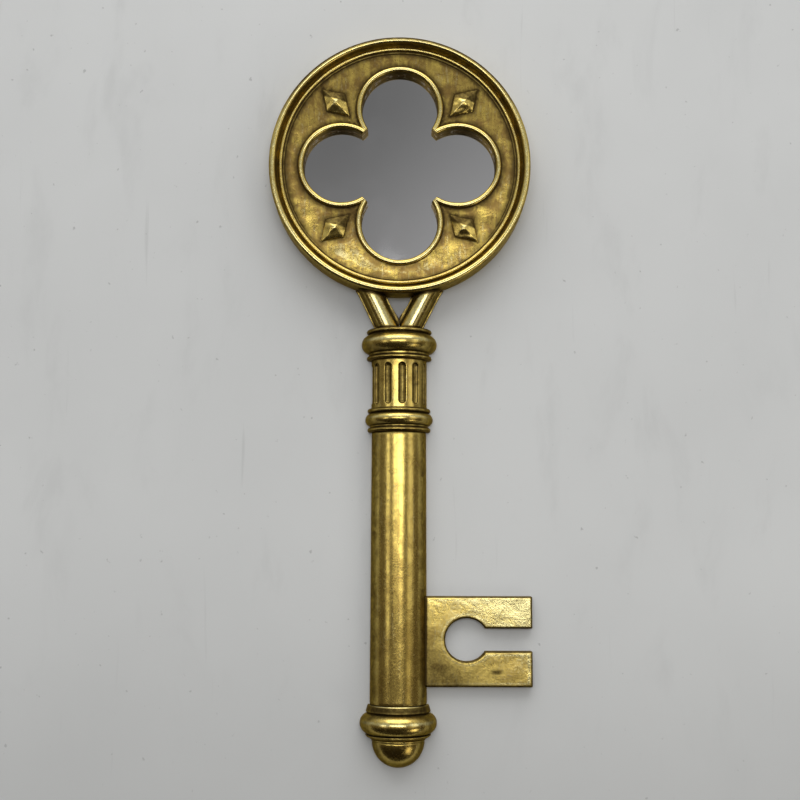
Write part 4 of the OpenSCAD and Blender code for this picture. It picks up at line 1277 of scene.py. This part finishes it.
# The gilded surfaces: lean and length of the brushed streaks, how strong patches, streaks, pits and clay spots are,
# the roughness, the painted shade on sides that turn away from the front, and the height of the relief in metres
GILT = {
    "Gilt moulding": dict(lean=0, length=1.0, patches=0.8, streaks=0.25, pits=0.3, clay=0.06, sheen=0.25,
                          sides=0.56, relief=0.0002),
    "Gilt field": dict(lean=38, length=0.14, patches=1.2, streaks=1.1, pits=0.6, clay=0.25, sheen=0.26,
                       sides=0.5, relief=0.0004),
    "Gilt stud": dict(lean=30, length=0.3, patches=0.9, streaks=0.3, pits=0.5, clay=0.1, sheen=0.26,
                      sides=0.5, relief=0.0002),
    "Gilt turned wood": dict(lean=0, length=0.07, patches=0.9, streaks=0.8, pits=0.3, clay=0.3, sheen=0.225,
                             sides=0.64, relief=0.0002),
    "Gilt bit": dict(lean=62, length=0.2, patches=0.9, streaks=0.45, pits=1.2, clay=0.4, sheen=0.28,
                     sides=0.7, relief=0.0004),
}
# Reflection of the gilded surfaces at grazing angles
GOLD_EDGE = (0.70, 0.56, 0.29)
# Brown that darkens the walls of the quatrefoil opening towards the back
OPENING_BROWN = (0.15, 0.085, 0.035)


def gilt(context, name):
    """One of the gilded finishes: the shared leaf group with this surface's own values."""
    if name in bpy.data.materials:
        return bpy.data.materials[name]
    colours, finish = settings(context, "colours", "finish")
    own = GILT[name]
    is_field = name == "Gilt field"
    material, tree, shader, where = base_material(name)
    front = add(tree, "ShaderNodeSeparateXYZ", {0: add(tree, "ShaderNodeNewGeometry").outputs["Normal"]}).outputs[1]
    leaf = add(tree, "ShaderNodeGroup", node_tree=antique_leaf_group(), inputs={
        "Place": where, "Streak place": stretched(tree, where, own["lean"], own["length"]),
        "Leaf": colours.field if is_field else colours.leaf, "Rubbed": colours.rubbed,
        "Toned": colours.umber if is_field else colours.shade, "Glaze": colours.glaze, "Clay": colours.clay,
        "Groove": times(tree, mark(tree, "groove"), finish.groove),
        "Rub": times(tree, mark(tree, "rub"), finish.rub), "Facing": times(tree, front, -1.0),
        "Painted side shade": own["sides"] * finish.groove, "Patches": own["patches"] * finish.patches,
        "Streaks": own["streaks"], "Pits": own["pits"] * finish.pits, "Clay spots": own["clay"],
        "Sheen": own["sheen"]}).outputs
    col, metal = leaf["Colour"], leaf["Metallic"]
    if is_field:
        chips = mark(tree, "chips")
        chipped = times(tree, step_up(tree, cloud(tree, where, 260, 3, 0.6, 0.3), 0.53, 0.60), chips)
        # The opening's walls darken to brown towards the back and show pale chips of ground
        col = blend(tree, times(tree, chips, 0.7), col, OPENING_BROWN)
        col = blend(tree, chipped, col, colours.chip)
        metal = plus(tree, metal, chipped, -0.9, clamp=True)
    for socket, value in (("Base Color", col), ("Roughness", leaf["Roughness"]), ("Metallic", metal),
                          ("Specular Tint", GOLD_EDGE)):
        feed(tree, shader.inputs[socket], value)
    bump_to(tree, shader, leaf["Height"], own["relief"])
    arrange(tree)
    return material


def mirror_material(context, name):
    """Silvered glass with a faint haze and a few specks."""
    material, tree, shader, where = base_material(name)
    tint = context.scene.wall_key_colours.glass
    haze = cloud(tree, where, 24, 4, 0.6)
    specks = step_up(tree, cloud(tree, where, 900, 2, 0.5), 0.72, 0.8)
    col = blend(tree, times(tree, haze, 0.25), tint, darker(tint, 0.82))
    feed(tree, shader.inputs["Base Color"], blend(tree, times(tree, specks, 0.3), col, (0.75, 0.75, 0.72)))
    feed(tree, shader.inputs["Metallic"], 1.0)
    feed(tree, shader.inputs["Roughness"], step_up(tree, haze, 0.4, 0.7, 0.05, 0.10))
    arrange(tree)
    return material


def steel_material(context, name):
    """Zinc-plated steel, lightly brushed and stained."""
    material, tree, shader, where = base_material(name)
    tint = context.scene.wall_key_colours.steel
    brushed = cloud(tree, stretched(tree, where, 0, 0.06), 1400, 3, 0.6)
    stain = cloud(tree, where, 90, 5, 0.65)
    col = blend(tree, step_up(tree, stain, 0.45, 0.75), tint, darker(tint, 0.6))
    lighter = tuple(min(1, 1.25 * t) for t in tint)
    feed(tree, shader.inputs["Base Color"], blend(tree, times(tree, brushed, 0.35), col, lighter))
    feed(tree, shader.inputs["Metallic"], 1.0)
    feed(tree, shader.inputs["Roughness"], step_up(tree, stain, 0.3, 0.8, 0.30, 0.55))
    bump_to(tree, shader, brushed, 0.00004)
    arrange(tree)
    return material


def board_material(context, name):
    """Brown hardboard with matted fibres."""
    material, tree, shader, where = base_material(name)
    tint = context.scene.wall_key_colours.board
    fibres = cloud(tree, stretched(tree, where, 25, 0.35), 900, 6, 0.7, 0.6)
    blotch = cloud(tree, where, 40, 4, 0.6)
    col = blend(tree, step_up(tree, fibres, 0.35, 0.7), darker(tint, 0.7), tuple(1.5 * t for t in tint))
    feed(tree, shader.inputs["Base Color"], blend(tree, times(tree, blotch, 0.4), col, tint))
    feed(tree, shader.inputs["Roughness"], step_up(tree, fibres, 0.3, 0.8, 0.55, 0.8))
    bump_to(tree, shader, fibres, 0.0002)
    arrange(tree)
    return material


def beech_material(context, name):
    """Plain beech with grain and short dark flecks."""
    material, tree, shader, where = base_material(name)
    tint = context.scene.wall_key_colours.beech
    grain = cloud(tree, stretched(tree, where, 0, 0.08), 900, 5, 0.65, 0.3)
    flecks = step_up(tree, cloud(tree, stretched(tree, where, 0, 0.3), 2200, 2), 0.6, 0.7)
    col = blend(tree, step_up(tree, grain, 0.35, 0.7), tint, darker(tint, 0.72))
    feed(tree, shader.inputs["Base Color"], blend(tree, times(tree, flecks, 0.5), col, darker(tint, 0.55)))
    feed(tree, shader.inputs["Roughness"], step_up(tree, grain, 0.3, 0.8, 0.5, 0.7))
    bump_to(tree, shader, grain, 0.0001)
    arrange(tree)
    return material


def wall_material(context):
    """Pale painted wall with faint scuffs. It is clear from behind, so the key's back can be seen."""
    material, tree, shader, where = base_material("Painted wall")
    tint = context.scene.wall_key_colours.wall
    smear = cloud(tree, stretched(tree, where, 20, 0.35), 24, 5, 0.6, 0.4)
    dots = cloud(tree, where, 160, 2, 0.5)
    scratch = cloud(tree, stretched(tree, where, 55, 0.06), 90, 3, 0.55)
    up = add(tree, "ShaderNodeSeparateXYZ", {0: where}).outputs[2]
    col = blend(tree, step_up(tree, cloud(tree, where, 3.0, 4), 0.3, 0.75), tint, darker(tint, 0.93))
    # Painted shade: the wall darkens towards the bottom
    col = blend(tree, step_up(tree, up, -0.66, -0.40, 1.0, 0.0), col, (0.86, 0.86, 0.86), mode="MULTIPLY")
    for spots, low, high, amount, left in ((smear, 0.52, 0.78, 0.5, 0.82), (dots, 0.70, 0.77, 0.6, 0.55),
                                           (scratch, 0.66, 0.78, 0.4, 0.70)):
        col = blend(tree, times(tree, step_up(tree, spots, low, high), amount), col, darker(tint, left))
    feed(tree, shader.inputs["Base Color"], col)
    feed(tree, shader.inputs["Roughness"], step_up(tree, smear, 0.3, 0.8, 0.5, 0.7))
    feed(tree, shader.inputs["Specular IOR Level"], 0.3)
    bump_to(tree, shader, cloud(tree, where, 900, 3, 0.6), 0.00012, 0.5)
    choose = add(tree, "ShaderNodeMixShader", {
        0: add(tree, "ShaderNodeNewGeometry").outputs["Backfacing"], 1: shader.outputs[0],
        2: add(tree, "ShaderNodeBsdfTransparent").outputs[0]})
    out = next(node for node in tree.nodes if node.bl_idname == "ShaderNodeOutputMaterial")
    feed(tree, out.inputs[0], choose.outputs[0])
    arrange(tree)
    return material


def dress(context, nodes, name, make):
    """Gives CAD nodes a finish through their objects' material slots. A finish that exists already is used again."""
    material = bpy.data.materials.get(name) or make(context, name)
    for node in nodes:
        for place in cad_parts[node].material_slots:
            place.material = material


# The stage

def direction(azimuth, elevation):
    """The direction from the key towards the room: azimuth from straight ahead towards the bit's side."""
    a, e = math.radians(azimuth), math.radians(elevation)
    return Vector((math.sin(a) * math.cos(e), -math.cos(a) * math.cos(e), math.sin(e)))


# The point that the lamps face
KEY_MIDDLE = Vector((0, 0, -0.29))


def softbox(context, name, azimuth, elevation, distance, width, height, brightness, tint=(1, 1, 1)):
    """A rectangular lamp of a given brightness that faces the key."""
    lamp = bpy.data.lights.new(name, "AREA")
    lamp.shape = "RECTANGLE"
    lamp.size, lamp.size_y = width, height
    lamp.color = tint
    lamp.energy = brightness * width * height * math.pi * context.scene.wall_key_stage.lamps
    made = bpy.data.objects.new(name, lamp)
    made.location = KEY_MIDDLE + direction(azimuth, elevation) * distance
    made.rotation_mode = "QUATERNION"
    made.rotation_quaternion = direction(azimuth, elevation).to_track_quat("Z", "Y")
    context.scene.collection.objects.link(made)
    return made


# Each lamp: azimuth, elevation, distance, width, height, brightness and, if it isn't white, its colour
LAMPS = (
    ("Window ahead", -1.5, 5.8, 3.0, 2.35, 0.69, 3.15),
    ("Window foot", 10, -2.6, 3.0, 0.62, 0.24, 3.2),
    ("Window left", -45, 1.5, 3.0, 0.7, 1.0, 1.3),
    ("Window right", 50, 9, 3.0, 1.2, 1.5, 0.85),
    ("Skylight", 1, 61, 2.8, 3.4, 1.7, 1.9),
    ("Low light", 54, -38, 3.0, 0.9, 1.1, 2.1, (1.0, 0.93, 0.8)),
    ("Side glow", 42, -10, 3.0, 0.9, 0.7, 0.4, (1.0, 0.92, 0.72)),
    ("Rear light", 168, 18, 3.0, 2.2, 2.2, 3.6),
)
# Dimmer and brighter places in the room: azimuth, elevation, reach, strength and colour
ROOM_SPOTS = (
    (-4, 20, 0.22, 0.55, (0.05, 0.048, 0.045)),
    (6, 8, 0.22, 0.9, (0.62, 0.62, 0.61)),
    (-1, 43, 0.28, 0.9, (1.5, 1.5, 1.42)),
)
# The room's colours from the floor up
FLOOR = (0.016, 0.012, 0.009)
LOW_ROOM = (0.115, 0.095, 0.07)
HIGH_ROOM = (0.36, 0.36, 0.35)
CEILING = (0.75, 0.75, 0.74)


def build_world(context):
    """The dim room round the key: darker below, brighter above, with a few spots."""
    world = bpy.data.worlds.new("Room")
    context.scene.world = world
    world.use_nodes = True
    tree = world.node_tree
    tree.nodes.clear()
    way = add(tree, "ShaderNodeTexCoord").outputs["Generated"]
    height = add(tree, "ShaderNodeSeparateXYZ", {0: way}).outputs[2]
    col = blend(tree, step_up(tree, height, 0.0, 0.32), LOW_ROOM, HIGH_ROOM)
    col = blend(tree, step_up(tree, height, 0.45, 0.8), col, CEILING)
    col = blend(tree, step_up(tree, height, -0.45, -0.03), FLOOR, col)
    for azimuth, elevation, reach, strength, tint in ROOM_SPOTS:
        gap = add(tree, "ShaderNodeVectorMath", {0: way, 1: direction(azimuth, elevation)}, operation="DISTANCE")
        col = blend(tree, step_up(tree, gap.outputs["Value"], 0.0, reach, strength, 0.0), col, tint)
    sky = add(tree, "ShaderNodeBackground", {"Color": col, "Strength": context.scene.wall_key_stage.room})
    add(tree, "ShaderNodeOutputWorld", {0: sky.outputs[0]})
    arrange(tree)


# Half the wall's width, the heights of its lower and upper edge, and its distance behind the key, in metres
WALL_HALF, WALL_LOW, WALL_HIGH, WALL_BEHIND = 2, -1.3, 1.7, 0.0003


def build_wall(context):
    """The painted wall just behind the key."""
    mesh = bpy.data.meshes.new("wall")
    corners = [(x, WALL_BEHIND, z) for x, z in ((-WALL_HALF, WALL_LOW), (WALL_HALF, WALL_LOW),
                                                (WALL_HALF, WALL_HIGH), (-WALL_HALF, WALL_HIGH))]
    mesh.from_pydata(corners, [], [(0, 1, 2, 3)])
    mesh.materials.append(wall_material(context))
    wall = bpy.data.objects.new("wall", mesh)
    context.scene.collection.objects.link(wall)
    wall.visible_shadow = False


def build_camera(context):
    """The camera, where the photograph was taken from."""
    stage = context.scene.wall_key_stage
    lens = bpy.data.cameras.new("Camera")
    lens.sensor_width = 36
    lens.lens = stage.lens
    lens.clip_start = 0.01
    camera = bpy.data.objects.new("Camera", lens)
    camera.location = (stage.camera_side, -stage.distance, stage.camera_up)
    turn = Matrix.Rotation(stage.pitch + math.pi / 2, 4, "X") @ Matrix.Rotation(stage.roll, 4, "Z")
    camera.rotation_euler = turn.to_euler()
    context.scene.collection.objects.link(camera)
    context.scene.camera = camera


def build_stage(context):
    """The wall, the lamps, the room and the camera."""
    build_wall(context)
    for lamp in LAMPS:
        softbox(context, *lamp)
    build_world(context)
    build_camera(context)
    context.scene.view_settings.view_transform = "Standard"


# Operators

class KEY_OT_bow_rim(bpy.types.Operator):
    """Builds the gilded rim of the bow with its outer bead, sloping channel and ledge"""
    bl_idname = "wall_key.bow_rim"
    bl_label = "Bow rim"

    def execute(self, context):
        build_rim(context, gilt(context, "Gilt moulding"))
        return {"FINISHED"}


class KEY_OT_inner_ring(bpy.types.Operator):
    """Builds the thin bead ring that covers the joint between rim and plate"""
    bl_idname = "wall_key.inner_ring"
    bl_label = "Inner bead ring"

    def execute(self, context):
        build_inner_ring(context, gilt(context, "Gilt moulding"))
        return {"FINISHED"}


class KEY_OT_plate(bpy.types.Operator):
    """Builds the plate with the quatrefoil opening"""
    bl_idname = "wall_key.plate"
    bl_label = "Bow plate"

    def execute(self, context):
        build_plate(context, gilt(context, "Gilt field"))
        return {"FINISHED"}


class KEY_OT_foil_bead(bpy.types.Operator):
    """Builds the mitred bead round the quatrefoil opening"""
    bl_idname = "wall_key.foil_bead"
    bl_label = "Quatrefoil bead"

    def execute(self, context):
        build_foil_bead(context, gilt(context, "Gilt moulding"))
        return {"FINISHED"}


class KEY_OT_studs(bpy.types.Operator):
    """Builds the four diamond studs"""
    bl_idname = "wall_key.studs"
    bl_label = "Studs"

    def execute(self, context):
        for place, degrees, seed in STUDS:
            build_stud(context, gilt(context, "Gilt stud"), place, degrees, seed)
        return {"FINISHED"}


class KEY_OT_arms(bpy.types.Operator):
    """Builds the two arms of the forked neck"""
    bl_idname = "wall_key.arms"
    bl_label = "Arms"

    def execute(self, context):
        build_arm(context, gilt(context, "Gilt turned wood"), "left_arm", -1)
        build_arm(context, gilt(context, "Gilt turned wood"), "right_arm", 1)
        return {"FINISHED"}


class KEY_OT_collars(bpy.types.Operator):
    """Builds the upper, lower and end collars"""
    bl_idname = "wall_key.collars"
    bl_label = "Collars"

    def execute(self, context):
        for node, seed in (("upper_collar", 22), ("lower_collar", 23), ("end_collar", 24)):
            build_turned(context, gilt(context, "Gilt turned wood"), node, seed)
        return {"FINISHED"}


class KEY_OT_drum(bpy.types.Operator):
    """Builds the fluted drum between the collars"""
    bl_idname = "wall_key.drum"
    bl_label = "Fluted drum"

    def execute(self, context):
        build_drum(context, gilt(context, "Gilt turned wood"))
        return {"FINISHED"}


class KEY_OT_shank(bpy.types.Operator):
    """Builds the half-round shank"""
    bl_idname = "wall_key.shank"
    bl_label = "Shank"

    def execute(self, context):
        build_turned(context, gilt(context, "Gilt turned wood"), "shank", 25, 1.6, 112)
        return {"FINISHED"}


class KEY_OT_dome(bpy.types.Operator):
    """Builds the domed end"""
    bl_idname = "wall_key.dome"
    bl_label = "Dome"

    def execute(self, context):
        build_turned(context, gilt(context, "Gilt turned wood"), "finial_dome", 26, 1.0, 112)
        return {"FINISHED"}


class KEY_OT_bit(bpy.types.Operator):
    """Builds the flat bit with its keyhole notch"""
    bl_idname = "wall_key.bit"
    bl_label = "Bit"

    def execute(self, context):
        build_bit(context, gilt(context, "Gilt bit"))
        return {"FINISHED"}


class KEY_OT_mirror(bpy.types.Operator):
    """Finishes the mirror and the board behind it"""
    bl_idname = "wall_key.mirror"
    bl_label = "Mirror and board"

    def execute(self, context):
        dress(context, ["mirror_glass"], "Mirror", mirror_material)
        dress(context, ["backing_board"], "Brown hardboard", board_material)
        return {"FINISHED"}


STEEL_NODES = ["plate_screws", "turn_button_upper_right", "turn_button_upper_left", "turn_button_lower_left",
               "turn_button_lower_right", "turn_button_screws", "hanger_plate", "hanger_screws", "hanging_ring",
               "back_strap", "strap_screws"]
WOOD_NODES = ["arm_dowels", "bit_dowels", "finial_dowel"]


class KEY_OT_hardware(bpy.types.Operator):
    """Finishes the steel fittings on the back and the beech dowels"""
    bl_idname = "wall_key.hardware"
    bl_label = "Fittings and dowels"

    def execute(self, context):
        dress(context, STEEL_NODES, "Zinc-plated steel", steel_material)
        dress(context, WOOD_NODES, "Beech dowel", beech_material)
        return {"FINISHED"}


class KEY_OT_stage(bpy.types.Operator):
    """Builds the wall, the lamps, the room's dim light and the camera"""
    bl_idname = "wall_key.stage"
    bl_label = "Stage"

    def execute(self, context):
        build_stage(context)
        return {"FINISHED"}


OPERATORS = (KEY_OT_bow_rim, KEY_OT_inner_ring, KEY_OT_plate, KEY_OT_foil_bead, KEY_OT_studs, KEY_OT_arms,
             KEY_OT_collars, KEY_OT_drum, KEY_OT_shank, KEY_OT_dome, KEY_OT_bit, KEY_OT_mirror, KEY_OT_hardware,
             KEY_OT_stage)
GROUPS = (("wall_key_bow", BowSizes), ("wall_key_stem", StemSizes), ("wall_key_colours", GiltColours),
          ("wall_key_finish", FinishAmounts), ("wall_key_stage", StageSizes))


class KEY_PT_panel(bpy.types.Panel):
    """Lists the key's pieces and their settings"""
    bl_idname = "KEY_PT_panel"
    bl_label = "Decorative wall key"
    bl_space_type = "VIEW_3D"
    bl_region_type = "UI"
    bl_category = "Wall key"

    def draw(self, context):
        for attribute, _ in GROUPS:
            box = self.layout.box()
            for prop in getattr(context.scene, attribute).bl_rna.properties:
                if prop.identifier not in ("rna_type", "name"):
                    box.prop(getattr(context.scene, attribute), prop.identifier)
        for operator in OPERATORS:
            self.layout.operator(operator.bl_idname)


def register():
    """Registers the settings, the operators and the panel."""
    for attribute, group in GROUPS:
        bpy.utils.register_class(group)
        setattr(bpy.types.Scene, attribute, PointerProperty(type=group))
    for operator in OPERATORS:
        bpy.utils.register_class(operator)
    bpy.utils.register_class(KEY_PT_panel)


def unregister():
    """Takes them out again, in the opposite order."""
    bpy.utils.unregister_class(KEY_PT_panel)
    for operator in reversed(OPERATORS):
        bpy.utils.unregister_class(operator)
    for attribute, group in reversed(GROUPS):
        delattr(bpy.types.Scene, attribute)
        bpy.utils.unregister_class(group)


def main():
    """Builds the key and its stage."""
    register()
    for operator in OPERATORS:
        family, name = operator.bl_idname.split(".")
        getattr(getattr(bpy.ops, family), name)()


if __name__ == "__main__":
    main()
